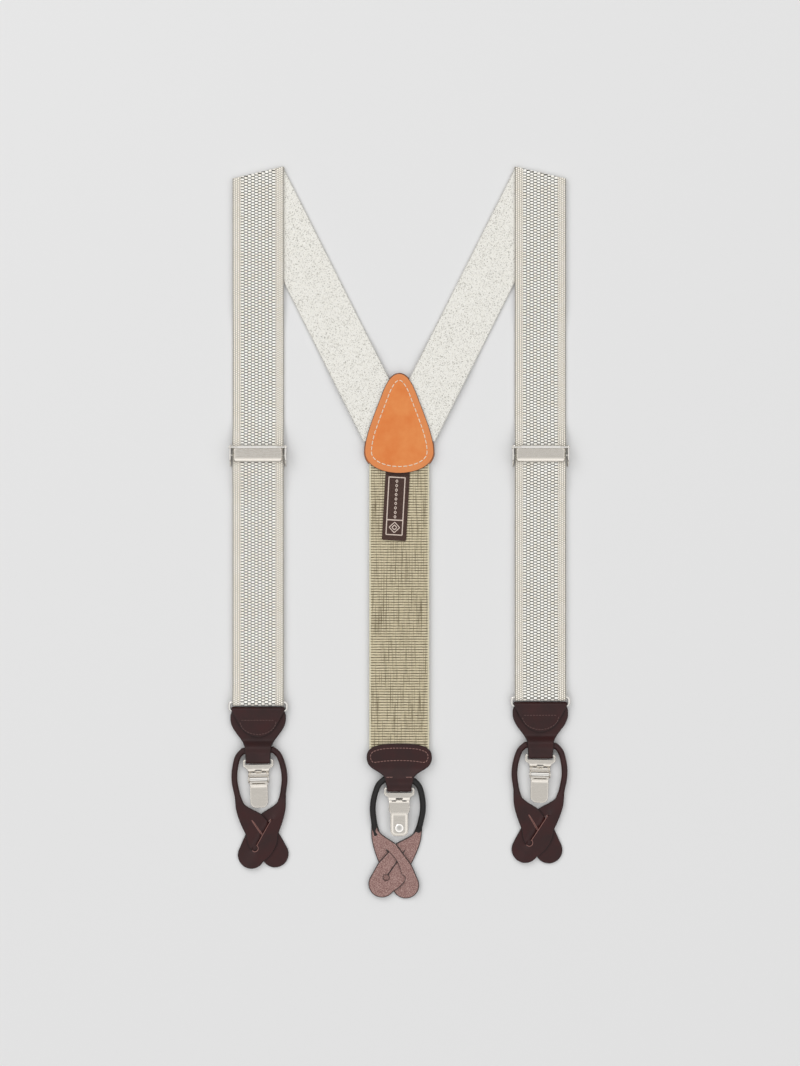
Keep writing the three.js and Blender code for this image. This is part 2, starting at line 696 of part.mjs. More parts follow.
function clipLever() {
  const half = collarInner - SIDE_GAP;
  const plateHalf = Math.min(half, CLIP_JAW_HALF - 0.1);
  const plate = symmetric((path) => {
    path.moveTo(plateHalf, -CLIP_PIN_AT);
    roundedEnd(path, plateHalf, -CLIP_LENGTH);
  });
  return slab(plate, clipLeverZ, clipLeverZ + SHEET)
    .add(rod(KNUCKLE_RADIUS, -half, half, -CLIP_PIN_AT, CLIP_PIN_RISE))
    .subtract(rod(PIN_DIAMETER / 2 + PIN_GAP, -half - 1, half + 1, -CLIP_PIN_AT, CLIP_PIN_RISE));
}

function clipPad() {
  const half = CLIP_JAW_HALF - PAD_INSET;
  const end = -CLIP_LENGTH + PAD_INSET;
  const plate = symmetric((path) => {
    path.moveTo(half, end + PAD_LENGTH);
    roundedEnd(path, half, end);
  });
  return slab(plate, jawTop + FACE_GAP, padTop)
    .subtract(post(RIVET_SHANK + PIN_GAP, 0, -RIVET_AT, -TALL, TALL));
}

// A low-domed rivet whose head lies under the jaw plate.
function clipRivet() {
  const under = -CLIP_JAW_DROP - SHEET / 2 - FACE_GAP;
  const profile = [
    [0, under - RIVET_HEAD_THICK],
    [0.8 * RIVET_HEAD, under - RIVET_HEAD_THICK],
    [RIVET_HEAD, under],
    [RIVET_SHANK, under],
    [RIVET_SHANK, padTop - 0.2],
    [0, padTop - 0.2],
  ].map(([x, y]) => new THREE.Vector2(x, y));
  const geometry = new THREE.LatheGeometry(profile, 20);
  geometry.rotateX(Math.PI / 2);
  return toSolid(geometry.translate(0, -RIVET_AT, 0));
}

// ---- Assemblies ----

// The clip as a group about its bar.
function clipGroup(name) {
  const group = new THREE.Group();
  group.add(
    piece(name + "_clip_body", clipBody(), nickel),
    piece(name + "_clip_lever", clipLever(), nickel),
    piece(
      name + "_clip_pin",
      headedPin(PIN_DIAMETER / 2, CLIP_COLLAR_HALF, -CLIP_PIN_AT, CLIP_PIN_RISE),
      nickel,
    ),
    piece(name + "_clip_pad", clipPad(), nylon),
    piece(name + "_clip_rivet", clipRivet(), nickel),
  );
  return group;
}

function loopGroup(name) {
  const group = new THREE.Group();
  group.add(piece(name + "_button_loop", buttonLoop(), darkLeather));
  return group;
}

function frontGroup(name, side, ringY, loopTilt, clipTilt) {
  const front = new THREE.Group();
  front.position.x = side * STRAP_SPREAD;
  front.add(
    piece(name + "_front_strap", frontStrap(side), ivoryWebbing),
    piece(name + "_strap_loop", strapLoop(ringY), ivoryWebbing),
  );

  const adjuster = new THREE.Group();
  adjuster.position.y = ADJUSTER_Y;
  adjuster.add(
    piece(name + "_adjuster_frame", adjusterFrame(), nickel),
    piece(name + "_adjuster_lever", adjusterLever(), nickel),
    piece(
      name + "_adjuster_pin",
      headedPin(PIN_DIAMETER / 2, cheekInner + CHEEK_THICK, leverPinY, leverPinZ),
      nickel,
    ),
  );

  const ring = new THREE.Group();
  ring.position.set(0, ringY, ringZ);
  ring.add(piece(name + "_wire_ring", wireRing(), nickel));

  const end = new THREE.Group();
  end.position.y = ringY - barSpacing;
  end.add(piece(name + "_leather_end", frontEnd(), darkLeather));

  const loop = loopGroup(name);
  loop.position.set(0, endCordY, cordZ);
  loop.rotation.z = THREE.MathUtils.degToRad(loopTilt);
  const clip = clipGroup(name);
  clip.position.set(0, endBarY, clipBarZ);
  clip.rotation.z = THREE.MathUtils.degToRad(clipTilt);
  end.add(loop, clip);

  front.add(adjuster, ring, end);
  return front;
}

function rearGroup() {
  const end = new THREE.Group();
  end.position.y = REAR_END_Y;
  end.add(piece("rear_leather_end", rearEnd(), darkLeather));
  const loop = loopGroup("rear");
  loop.position.set(0, rearCordY, cordZ);
  loop.rotation.z = THREE.MathUtils.degToRad(REAR_LOOP_TILT);
  const clip = clipGroup("rear");
  clip.position.set(0, rearBarY, clipBarZ);
  clip.rotation.y = Math.PI; // it shows its back
  end.add(loop, clip);
  return end;
}

const suspenders = new THREE.Group();
suspenders.add(
  piece("yoke_outer_leather", slab(yokeShape(0), 0, LEATHER_THICK), darkLeather),
  piece(
    "yoke_inner_leather",
    slab(yokeShape(YOKE_EDGE), innerLeafZ, innerLeafZ + LEATHER_THICK),
    tanLeather,
  ),
  piece("left_back_strap", backStrap(-1), ivoryWebbing),
  piece("right_back_strap", backStrap(1), ivoryWebbing),
  piece("rear_strap", rearStrap(), khakiElastic),
);

const labelMesh = piece("label", label(), wovenLabel);
labelMesh.position.set(LABEL_X, YOKE_BOTTOM - LAYER_GAP * 3, labelZ);
labelMesh.rotation.z = THREE.MathUtils.degToRad(LABEL_TILT);

suspenders.add(
  labelMesh,
  frontGroup("left", -1, LEFT_RING_Y, LEFT_LOOP_TILT, LEFT_CLIP_TILT),
  frontGroup("right", 1, RIGHT_RING_Y, RIGHT_LOOP_TILT, RIGHT_CLIP_TILT),
  rearGroup(),
);

export default suspenders;
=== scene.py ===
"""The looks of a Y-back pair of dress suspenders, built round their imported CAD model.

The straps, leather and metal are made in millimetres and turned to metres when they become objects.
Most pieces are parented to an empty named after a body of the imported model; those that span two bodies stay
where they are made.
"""

from __future__ import annotations

import logging
import math
from collections.abc import Callable, Sequence
from dataclasses import dataclass, field
from enum import Enum

import bmesh
import bpy
import numpy as np
from mathutils import Matrix, Vector
from mathutils.geometry import delaunay_2d_cdt


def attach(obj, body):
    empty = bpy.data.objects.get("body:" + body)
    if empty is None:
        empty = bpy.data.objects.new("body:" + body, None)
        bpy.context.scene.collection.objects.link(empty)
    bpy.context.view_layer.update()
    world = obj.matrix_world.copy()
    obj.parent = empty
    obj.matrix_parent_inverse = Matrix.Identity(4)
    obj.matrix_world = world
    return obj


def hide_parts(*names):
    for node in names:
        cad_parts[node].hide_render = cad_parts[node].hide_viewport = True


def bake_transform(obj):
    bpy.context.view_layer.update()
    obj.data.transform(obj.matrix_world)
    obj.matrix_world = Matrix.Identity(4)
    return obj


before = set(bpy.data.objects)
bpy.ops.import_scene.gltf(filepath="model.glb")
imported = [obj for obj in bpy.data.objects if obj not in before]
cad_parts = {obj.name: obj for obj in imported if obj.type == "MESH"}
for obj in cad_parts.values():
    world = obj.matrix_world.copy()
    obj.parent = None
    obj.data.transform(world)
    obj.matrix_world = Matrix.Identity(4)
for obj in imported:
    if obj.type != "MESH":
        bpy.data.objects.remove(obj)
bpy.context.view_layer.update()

log = logging.getLogger("suspenders")

MM = 0.001

# Layers, in millimetres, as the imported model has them
WEB_THICK = 1.3
LEATHER_THICK = 1.3
LAYER_GAP = 0.3
RETURN_MID = WEB_THICK / 2
FACE_MID = RETURN_MID + WEB_THICK + LAYER_GAP
FLAP_MID = FACE_MID + LEATHER_THICK + LAYER_GAP
CLAMP_MID = FLAP_MID + WEB_THICK + LAYER_GAP  # the strap where it passes over the adjuster's plate
SEAM_Z = FLAP_MID + LEATHER_THICK / 2 + 0.02  # the threads on a leather end
WEB_SOFT = 0.4
CORD_RADIUS = 2.05
CORD_Z = 3.55
CLIP_BAR_Z = 3.0
BULGE_MID = CORD_Z + CORD_RADIUS + LAYER_GAP + LEATHER_THICK / 2
WIRE_Z = 2.9
WRAP = 1.8  # the radius at which a strap's or a strip's middle goes round the wire ring
NECK_MID = 5.9  # a leather end's strip, just before and after it goes over the cord

# Places, in millimetres
STRAP_X = 96.5
SHOULDER_Y = 170.7
RING_DROP = 5.6  # from a wire ring's upper run to its lower run, where the leather end begins
CORD_DROP = 27.35  # from there to the cord of the button loop
BAR_DROP = 34.05  # and to the clip's bar
FAR = 99.0  # a distance to an edge or a cut where there is none
DETAIL = "detail"  # the attribute that carries pattern places: across, along and side, in millimetres


# ---- Colour and shader nodes ----


def linear(hex_colour: str) -> tuple[float, float, float, float]:
    """Turns an sRGB hex colour into the linear colour that a shader takes.

    Args:
        hex_colour: Six hex digits, such as "efe9dc".

    Returns:
        Red, green, blue and an alpha of one.
    """
    parts = [int(hex_colour[i : i + 2], 16) / 255 for i in (0, 2, 4)]
    turned = [c / 12.92 if c <= 0.04045 else ((c + 0.055) / 1.055) ** 2.4 for c in parts]
    return (*turned, 1.0)


def add(
    tree: bpy.types.NodeTree, kind: str, settings: dict | None = None, inputs: dict | None = None
) -> bpy.types.Node:
    """Adds one shader node.

    Args:
        tree: The material's node tree.
        kind: The node's type, without its "ShaderNode" prefix.
        settings: Property values by name.
        inputs: By socket name or number, a value to set or an output socket to link.

    Returns:
        The new node.
    """
    made = tree.nodes.new("ShaderNode" + kind)
    for name, value in (settings or {}).items():
        setattr(made, name, value)
    for key, value in (inputs or {}).items():
        if isinstance(value, bpy.types.NodeSocket):
            tree.links.new(value, made.inputs[key])
        else:
            made.inputs[key].default_value = value
    return made


MIX_A, MIX_B, MIX_OUT = 6, 7, 2  # a Mix node's two colour inputs and its colour output
Relief = tuple[bpy.types.NodeSocket, float]  # a height from 0 to 1 and how deep it is, in millimetres


@dataclass(frozen=True)
class Finish:
    """What every finish has: a name, a base colour and how rough it is."""

    name: str
    colour: str
    roughness: float

    def build(self) -> bpy.types.Material:
        """Makes the material.

        Returns:
            The material, with its pattern nodes wired to a Principled shader.
        """
        material = bpy.data.materials.new(self.name)
        material.use_nodes = True
        tree = material.node_tree
        shader = tree.nodes["Principled BSDF"]
        shader.inputs["Base Color"].default_value = linear(self.colour)
        shader.inputs["Roughness"].default_value = self.roughness
        relief = self.dress(tree, shader)
        if relief:
            height, depth_mm = relief
            bump = add(tree, "Bump", inputs={"Height": height, "Distance": depth_mm * MM, "Strength": 1.0})
            tree.links.new(bump.outputs["Normal"], shader.inputs["Normal"])
        material.diffuse_color = linear(self.colour)
        return material

    def dress(self, tree: bpy.types.NodeTree, shader: bpy.types.Node) -> Relief | None:
        """Adds the finish's own pattern. A plain finish has none.

        Args:
            tree: The material's node tree.
            shader: Its Principled shader.

        Returns:
            The pattern's relief, if it has any.
        """
        return None


@dataclass(frozen=True)
class Honeycomb(Finish):
    """Rayon and cotton webbing, jacquard woven: raised ivory ovals, with painted shade in the small gaps
    above and below each one, between two ribbed borders and dotted selvedges. It gives a crisp, slightly
    silky face."""

    shade: str = "fffef8"
    # gap: painted shade, the dark colour of the hollows between the raised ovals; it also colours the
    # selvedge's real dark dots
    gap: str = "2c261d"
    border: str = "fffaf0"
    column_mm: float = 2.36
    row_mm: float = 2.0
    zone_mm: float = 11.8
    half_mm: float = 17.5
    slim: float = 2.4  # how much thinner the gaps beside an oval are than those above it

    def dress(self, tree: bpy.types.NodeTree, shader: bpy.types.Node) -> Relief:
        """Adds the ovals with painted shade between them, the borders' dotted ribs and the dark selvedge.

        Args:
            tree: The material's node tree.
            shader: Its Principled shader.

        Returns:
            The pattern's relief.
        """
        place = add(tree, "Attribute", {"attribute_name": DETAIL})
        split = add(tree, "SeparateXYZ", inputs={0: place.outputs["Vector"]})
        across, along = split.outputs[0], split.outputs[1]
        wide = add(tree, "Math", {"operation": "MULTIPLY"}, {0: across, 1: self.slim})
        turned = add(tree, "CombineXYZ", inputs={0: along, 1: wide.outputs[0]})
        # Painted shade: the dark mortar between the ovals stands for the shadow in the weave's hollows.
        ovals = add(tree, "TexBrick", {"offset": 0.5}, {
            "Vector": turned.outputs[0], "Scale": 1.0, "Color1": linear(self.shade),
            "Color2": linear(self.colour), "Mortar": linear(self.gap), "Mortar Size": 0.33,
            "Mortar Smooth": 0.2, "Bias": -0.3,
            "Brick Width": self.row_mm, "Row Height": self.column_mm * self.slim})
        plain = add(tree, "CombineXYZ", inputs={0: along, 1: across})
        ribs = add(tree, "TexBrick", {"offset": 0.5}, {
            "Vector": plain.outputs[0], "Scale": 1.0, "Color1": linear(self.border),
            "Color2": linear(self.colour), "Mortar": linear("6e6557"), "Mortar Size": 0.14,
            "Mortar Smooth": 0.5, "Brick Width": 1.3, "Row Height": 1.42})
        side = add(tree, "Math", {"operation": "ABSOLUTE"}, {0: across})
        is_border = add(tree, "MapRange", inputs={
            0: side.outputs[0], 1: self.zone_mm - 0.1, 2: self.zone_mm + 0.15, 3: 0.0, 4: 1.0})
        face = add(tree, "Mix", {"data_type": "RGBA"}, {
            0: is_border.outputs[0], MIX_A: ovals.outputs["Color"], MIX_B: ribs.outputs["Color"]})
        dots = add(tree, "TexWave", {"bands_direction": "Y"}, {
            "Vector": place.outputs["Vector"], "Scale": 0.31, "Distortion": 0.4})
        at_edge = add(tree, "MapRange", inputs={
            0: side.outputs[0], 1: self.half_mm - 1.0, 2: self.half_mm - 0.6, 3: 0.0, 4: 0.75})
        dark = add(tree, "Math", {"operation": "MULTIPLY"}, {0: dots.outputs["Fac"], 1: at_edge.outputs[0]})
        edged = add(tree, "Mix", {"data_type": "RGBA"}, {
            0: dark.outputs[0], MIX_A: face.outputs[MIX_OUT], MIX_B: linear(self.gap)})
        uneven = add(tree, "TexNoise", inputs={
            "Vector": place.outputs["Vector"], "Scale": 0.06, "Detail": 2.0})
        amount = add(tree, "MapRange", inputs={0: uneven.outputs["Fac"], 1: 0.3, 2: 0.7, 3: 0.0, 4: 0.09})
        tone = add(tree, "Mix", {"data_type": "RGBA", "blend_type": "MULTIPLY"}, {
            0: amount.outputs[0], MIX_A: edged.outputs[MIX_OUT], MIX_B: linear("e4d5bf")})
        tree.links.new(tone.outputs[MIX_OUT], shader.inputs["Base Color"])
        solid = add(tree, "Mix", {"data_type": "FLOAT"}, {
            0: is_border.outputs[0], 2: ovals.outputs["Fac"], 3: ribs.outputs["Fac"]})
        raised = add(tree, "Math", {"operation": "SUBTRACT"}, {0: 1.0, 1: solid.outputs[0]})
        shader.inputs["Sheen Weight"].default_value = 0.25
        return raised.outputs[0], 0.2


@dataclass(frozen=True)
class PlainReverse(Finish):
    """The back of the webbing: a fine plain weave whose buried dark warp shows as specks. It looks
    chalky white, with a faint grey grain."""

    speck: str = "8a867a"
    half_mm: float = 17.5
    thread_mm: float = 0.7  # the real thread is about 0.35 mm and is drawn twice as coarse, so that it shows

    def dress(self, tree: bpy.types.NodeTree, shader: bpy.types.Node) -> Relief:
        """Adds the specks, the plain weave and the dotted selvedge.

        Args:
            tree: The material's node tree.
            shader: Its Principled shader.

        Returns:
            The pattern's relief.
        """
        place = add(tree, "Attribute", {"attribute_name": DETAIL})
        split = add(tree, "SeparateXYZ", inputs={0: place.outputs["Vector"]})
        noise = add(tree, "TexNoise", inputs={
            "Vector": place.outputs["Vector"], "Scale": 1.0 / self.thread_mm, "Detail": 2.0,
            "Roughness": 0.7})
        specks = add(tree, "MapRange", inputs={0: noise.outputs["Fac"], 1: 0.54, 2: 0.68, 3: 0.0, 4: 0.9})
        weave = add(tree, "TexBrick", {"offset": 0.5}, {
            "Vector": place.outputs["Vector"], "Scale": 1.0, "Color1": linear(self.colour),
            "Color2": linear("f8f7f2"), "Mortar": linear("d6d3ca"), "Mortar Size": 0.12, "Mortar Smooth": 1.0,
            "Brick Width": self.thread_mm, "Row Height": self.thread_mm})
        speckled = add(tree, "Mix", {"data_type": "RGBA"}, {
            0: specks.outputs[0], MIX_A: weave.outputs["Color"], MIX_B: linear(self.speck)})
        side = add(tree, "Math", {"operation": "ABSOLUTE"}, {0: split.outputs[0]})
        at_edge = add(tree, "MapRange", inputs={
            0: side.outputs[0], 1: self.half_mm - 0.8, 2: self.half_mm - 0.4, 3: 0.0, 4: 0.6})
        dots = add(tree, "TexWave", {"bands_direction": "Y"}, {
            "Vector": place.outputs["Vector"], "Scale": 0.31, "Distortion": 1.0})
        dark = add(tree, "Math", {"operation": "MULTIPLY"}, {0: dots.outputs["Fac"], 1: at_edge.outputs[0]})
        edged = add(tree, "Mix", {"data_type": "RGBA"}, {
            0: dark.outputs[0], MIX_A: speckled.outputs[MIX_OUT], MIX_B: linear("77736b")})
        tree.links.new(edged.outputs[MIX_OUT], shader.inputs["Base Color"])
        return noise.outputs["Fac"], 0.25


@dataclass(frozen=True)
class RibbedElastic(Finish):
    """Rubber-cored elastic, woven in khaki and cream: fine ribs across it and broken dark warp lines
    along it, between cream selvedges. The ribs give it a dry, corded look."""

    light: str = "e6dcc0"
    line: str = "57492f"
    rib_mm: float = 1.8
    half_mm: float = 20.5

    def dress(self, tree: bpy.types.NodeTree, shader: bpy.types.Node) -> Relief:
        """Adds the ribs, the broken warp lines and the selvedges.

        Args:
            tree: The material's node tree.
            shader: Its Principled shader.

        Returns:
            The pattern's relief.
        """
        place = add(tree, "Attribute", {"attribute_name": DETAIL})
        split = add(tree, "SeparateXYZ", inputs={0: place.outputs["Vector"]})
        ribs = add(tree, "TexWave", {"bands_direction": "Y", "wave_profile": "SIN"}, {
            "Vector": place.outputs["Vector"], "Scale": 0.314 / self.rib_mm, "Distortion": 0.6, "Detail": 1.0,
            "Detail Scale": 2.0})
        furrow = add(tree, "MapRange", inputs={0: ribs.outputs["Fac"], 1: 0.45, 2: 0.05, 3: 0.0, 4: 1.0})
        stretched = add(tree, "Mapping", inputs={
            "Vector": place.outputs["Vector"], "Scale": (1.1, 0.03, 1.0)})
        warp = add(tree, "TexNoise", inputs={
            "Vector": stretched.outputs[0], "Scale": 1.0, "Detail": 3.0, "Roughness": 0.75})
        warp_line = add(tree, "MapRange", inputs={0: warp.outputs["Fac"], 1: 0.5, 2: 0.66, 3: 0.0, 4: 0.8})
        patchy = add(tree, "TexNoise", inputs={
            "Vector": place.outputs["Vector"], "Scale": 0.5, "Detail": 3.0})
        ground = add(tree, "Mix", {"data_type": "RGBA"}, {
            0: patchy.outputs["Fac"], MIX_A: linear(self.colour), MIX_B: linear(self.light)})
        lined = add(tree, "Mix", {"data_type": "RGBA"}, {
            0: warp_line.outputs[0], MIX_A: ground.outputs[MIX_OUT], MIX_B: linear(self.line)})
        broken = add(tree, "Math", {"operation": "MULTIPLY"}, {
            0: furrow.outputs[0], 1: patchy.outputs["Fac"]})
        wide = add(tree, "Math", {"operation": "MULTIPLY"}, {0: broken.outputs[0], 1: 1.9})
        ribbed = add(tree, "Mix", {"data_type": "RGBA"}, {
            0: wide.outputs[0], MIX_A: lined.outputs[MIX_OUT], MIX_B: linear(self.line)})
        side = add(tree, "Math", {"operation": "ABSOLUTE"}, {0: split.outputs[0]})
        at_edge = add(tree, "MapRange", inputs={
            0: side.outputs[0], 1: self.half_mm - 1.3, 2: self.half_mm - 0.9, 3: 0.0, 4: 0.8})
        edged = add(tree, "Mix", {"data_type": "RGBA"}, {
            0: at_edge.outputs[0], MIX_A: ribbed.outputs[MIX_OUT], MIX_B: linear("e3dcc2")})
        tree.links.new(edged.outputs[MIX_OUT], shader.inputs["Base Color"])
        return ribs.outputs["Fac"], 0.3


@dataclass(frozen=True)
class Leather(Finish):
    """Cow leather, vegetable tanned, dyed and glazed: soft cloudy colour, a fine grain and a satin
    shine, with a painted outer edge and paler raw cuts."""

    cloud: str
    edge: str
    cut: str
    rim_mm: float = 0.0  # how wide the paler band inside the edge is
    rim: str = "f0b480"
    grain_mm: float = 0.5
    grain_depth_mm: float = 0.05
    coat: float = 0.2
    ior: float = 1.42  # waxed leather

    def dress(self, tree: bpy.types.NodeTree, shader: bpy.types.Node) -> Relief:
        """Adds the clouded dye, the rim band, the painted edge, the raw cuts and the grain.

        Args:
            tree: The material's node tree.
            shader: Its Principled shader.

        Returns:
            The pattern's relief.
        """
        place = add(tree, "Attribute", {"attribute_name": DETAIL})
        split = add(tree, "SeparateXYZ", inputs={0: place.outputs["Vector"]})
        coords = add(tree, "TexCoord")
        clouds = add(tree, "TexNoise", inputs={
            "Vector": coords.outputs["Object"], "Scale": 90.0, "Detail": 4.0, "Roughness": 0.6})
        amount = add(tree, "MapRange", inputs={0: clouds.outputs["Fac"], 1: 0.35, 2: 0.68, 3: 0.0, 4: 1.0})
        dyed = add(tree, "Mix", {"data_type": "RGBA"}, {
            0: amount.outputs[0], MIX_A: linear(self.colour), MIX_B: linear(self.cloud)})
        band = add(tree, "MapRange", inputs={
            0: split.outputs[0], 1: self.rim_mm + 0.3, 2: max(self.rim_mm - 0.5, 0.0), 3: 0.0,
            4: 0.6 if self.rim_mm else 0.0})
        banded = add(tree, "Mix", {"data_type": "RGBA"}, {
            0: band.outputs[0], MIX_A: dyed.outputs[MIX_OUT], MIX_B: linear(self.rim)})
        painted = add(tree, "MapRange", inputs={0: split.outputs[0], 1: 0.45, 2: 0.2, 3: 0.0, 4: 1.0})
        edged = add(tree, "Mix", {"data_type": "RGBA"}, {
            0: painted.outputs[0], MIX_A: banded.outputs[MIX_OUT], MIX_B: linear(self.edge)})
        raw = add(tree, "MapRange", inputs={0: split.outputs[1], 1: 0.5, 2: 0.2, 3: 0.0, 4: 0.85})
        trimmed = add(tree, "Mix", {"data_type": "RGBA"}, {
            0: raw.outputs[0], MIX_A: edged.outputs[MIX_OUT], MIX_B: linear(self.cut)})
        tree.links.new(trimmed.outputs[MIX_OUT], shader.inputs["Base Color"])
        grain = add(tree, "TexVoronoi", {"feature": "SMOOTH_F1"}, {
            "Vector": coords.outputs["Object"], "Scale": 1.0 / (self.grain_mm * MM)})
        wear = add(tree, "MapRange", inputs={
            0: clouds.outputs["Fac"], 1: 0.3, 2: 0.7, 3: self.roughness - 0.06, 4: self.roughness + 0.08})
        tree.links.new(wear.outputs[0], shader.inputs["Roughness"])
        shader.inputs["IOR"].default_value = self.ior
        shader.inputs["Coat Weight"].default_value = self.coat
        shader.inputs["Coat Roughness"].default_value = 0.3
        return grain.outputs["Distance"], self.grain_depth_mm


@dataclass(frozen=True)
class Suede(Finish):
    """The flesh side of the leather, shaved and left raw: matt, mottled pinkish brown with pale fibre
    specks, and dark paint that has crept in from the edge."""

    speck: str
    edge: str
    fibre_mm: float = 0.6  # the real nap is finer and is drawn this coarse, so that it shows

    def dress(self, tree: bpy.types.NodeTree, shader: bpy.types.Node) -> Relief:
        """Adds the mottling, the specks and the painted edge.

        Args:
            tree: The material's node tree.
            shader: Its Principled shader.

        Returns:
            The pattern's relief.
        """
        place = add(tree, "Attribute", {"attribute_name": DETAIL})
        split = add(tree, "SeparateXYZ", inputs={0: place.outputs["Vector"]})
        coords = add(tree, "TexCoord")
        nap = add(tree, "TexNoise", inputs={
            "Vector": coords.outputs["Object"], "Scale": 1.0 / (self.fibre_mm * MM), "Detail": 3.0,
            "Roughness": 0.7})
        specks = add(tree, "MapRange", inputs={0: nap.outputs["Fac"], 1: 0.42, 2: 0.66, 3: 0.0, 4: 1.0})
        mottled = add(tree, "Mix", {"data_type": "RGBA"}, {
            0: specks.outputs[0], MIX_A: linear(self.colour), MIX_B: linear(self.speck)})
        # Near a raw cut it darkens as well, into a thin dark line along the slit and round the keyhole.
        cut = add(tree, "Math", {"operation": "ADD"}, {0: split.outputs[1], 1: 0.25})
        near = add(tree, "Math", {"operation": "MINIMUM"}, {0: split.outputs[0], 1: cut.outputs[0]})
        painted = add(tree, "MapRange", inputs={0: near.outputs[0], 1: 0.75, 2: 0.35, 3: 0.0, 4: 1.0})
        edged = add(tree, "Mix", {"data_type": "RGBA"}, {
            0: painted.outputs[0], MIX_A: mottled.outputs[MIX_OUT], MIX_B: linear(self.edge)})
        tree.links.new(edged.outputs[MIX_OUT], shader.inputs["Base Color"])
        shader.inputs["Sheen Weight"].default_value = 0.3
        return nap.outputs["Fac"], 0.3


@dataclass(frozen=True)
class Nickel(Finish):
    """Steel sheet or wire, barrel polished or brushed and plated with nickel: a warm grey metal, with
    brush lines on the satin plates and faint ripples on the bright parts."""

    brush: tuple[float, float, float] = (900.0, 900.0, 900.0)
    brush_depth_mm: float = 0.01

    def dress(self, tree: bpy.types.NodeTree, shader: bpy.types.Node) -> Relief:
        """Adds the metal's polish or brush lines and a slightly uneven shine.

        Args:
            tree: The material's node tree.
            shader: Its Principled shader.

        Returns:
            The pattern's relief.
        """
        shader.inputs["Metallic"].default_value = 1.0
        coords = add(tree, "TexCoord")
        stretched = add(tree, "Mapping", inputs={"Vector": coords.outputs["Object"], "Scale": self.brush})
        lines = add(tree, "TexNoise", inputs={"Vector": stretched.outputs[0], "Scale": 1.0, "Detail": 2.0})
        shine = add(tree, "MapRange", inputs={
            0: lines.outputs["Fac"], 1: 0.3, 2: 0.7, 3: self.roughness - 0.04, 4: self.roughness + 0.04})
        tree.links.new(shine.outputs[0], shader.inputs["Roughness"])
        return lines.outputs["Fac"], self.brush_depth_mm


@dataclass(frozen=True)
class Spun(Finish):
    """Polyester thread or yarn, twisted: a fine rope-like grain and a soft sheen."""

    twist_mm: float = 0.5

    def dress(self, tree: bpy.types.NodeTree, shader: bpy.types.Node) -> Relief:
        """Adds the twist's grain.

        Args:
            tree: The material's node tree.
            shader: Its Principled shader.

        Returns:
            The pattern's relief.
        """
        coords = add(tree, "TexCoord")
        twist = add(tree, "TexNoise", inputs={
            "Vector": coords.outputs["Object"], "Scale": 1.0 / (self.twist_mm * MM), "Detail": 2.0})
        shade = add(tree, "Mix", {"data_type": "RGBA", "blend_type": "MULTIPLY"}, {
            0: twist.outputs["Fac"], MIX_A: linear(self.colour), MIX_B: linear("d2c8bf")})
        tree.links.new(shade.outputs[MIX_OUT], shader.inputs["Base Color"])
        shader.inputs["Sheen Weight"].default_value = 0.3
        return twist.outputs["Fac"], 0.1


@dataclass(frozen=True)
class Damask(Finish):
    """Polyester damask, woven for a label: dark brown with fine picks across it, and a slight satin."""

    pick: str = "523a31"
    pick_mm: float = 0.5

    def dress(self, tree: bpy.types.NodeTree, shader: bpy.types.Node) -> Relief:
        """Adds the picks.

        Args:
            tree: The material's node tree.
            shader: Its Principled shader.

        Returns:
            The pattern's relief.
        """
        place = add(tree, "Attribute", {"attribute_name": DETAIL})
        picks = add(tree, "TexBrick", {"offset": 0.5}, {
            "Vector": place.outputs["Vector"], "Scale": 1.0, "Color1": linear(self.colour),
            "Color2": linear(self.pick), "Mortar": linear("2a1a16"), "Mortar Size": 0.06,
            "Mortar Smooth": 1.0, "Brick Width": 1.6 * self.pick_mm, "Row Height": self.pick_mm})
        tree.links.new(picks.outputs["Color"], shader.inputs["Base Color"])
        raised = add(tree, "Math", {"operation": "SUBTRACT"}, {0: 1.0, 1: picks.outputs["Fac"]})
        return raised.outputs[0], 0.08


@dataclass(frozen=True)
class Moulded(Finish):
    """Injection moulded nylon: milky, with the mould's fine spark-eroded texture."""

    grit_mm: float = 0.3

    def dress(self, tree: bpy.types.NodeTree, shader: bpy.types.Node) -> Relief:
        """Adds the mould's texture and the plastic's translucency.

        Args:
            tree: The material's node tree.
            shader: Its Principled shader.

        Returns:
            The pattern's relief.
        """
        coords = add(tree, "TexCoord")
        grit = add(tree, "TexNoise", inputs={
            "Vector": coords.outputs["Object"], "Scale": 1.0 / (self.grit_mm * MM), "Detail": 2.0})
        shader.inputs["Subsurface Weight"].default_value = 0.1
        shader.inputs["Subsurface Radius"].default_value = (0.002, 0.002, 0.002)
        return grit.outputs["Fac"], 0.03


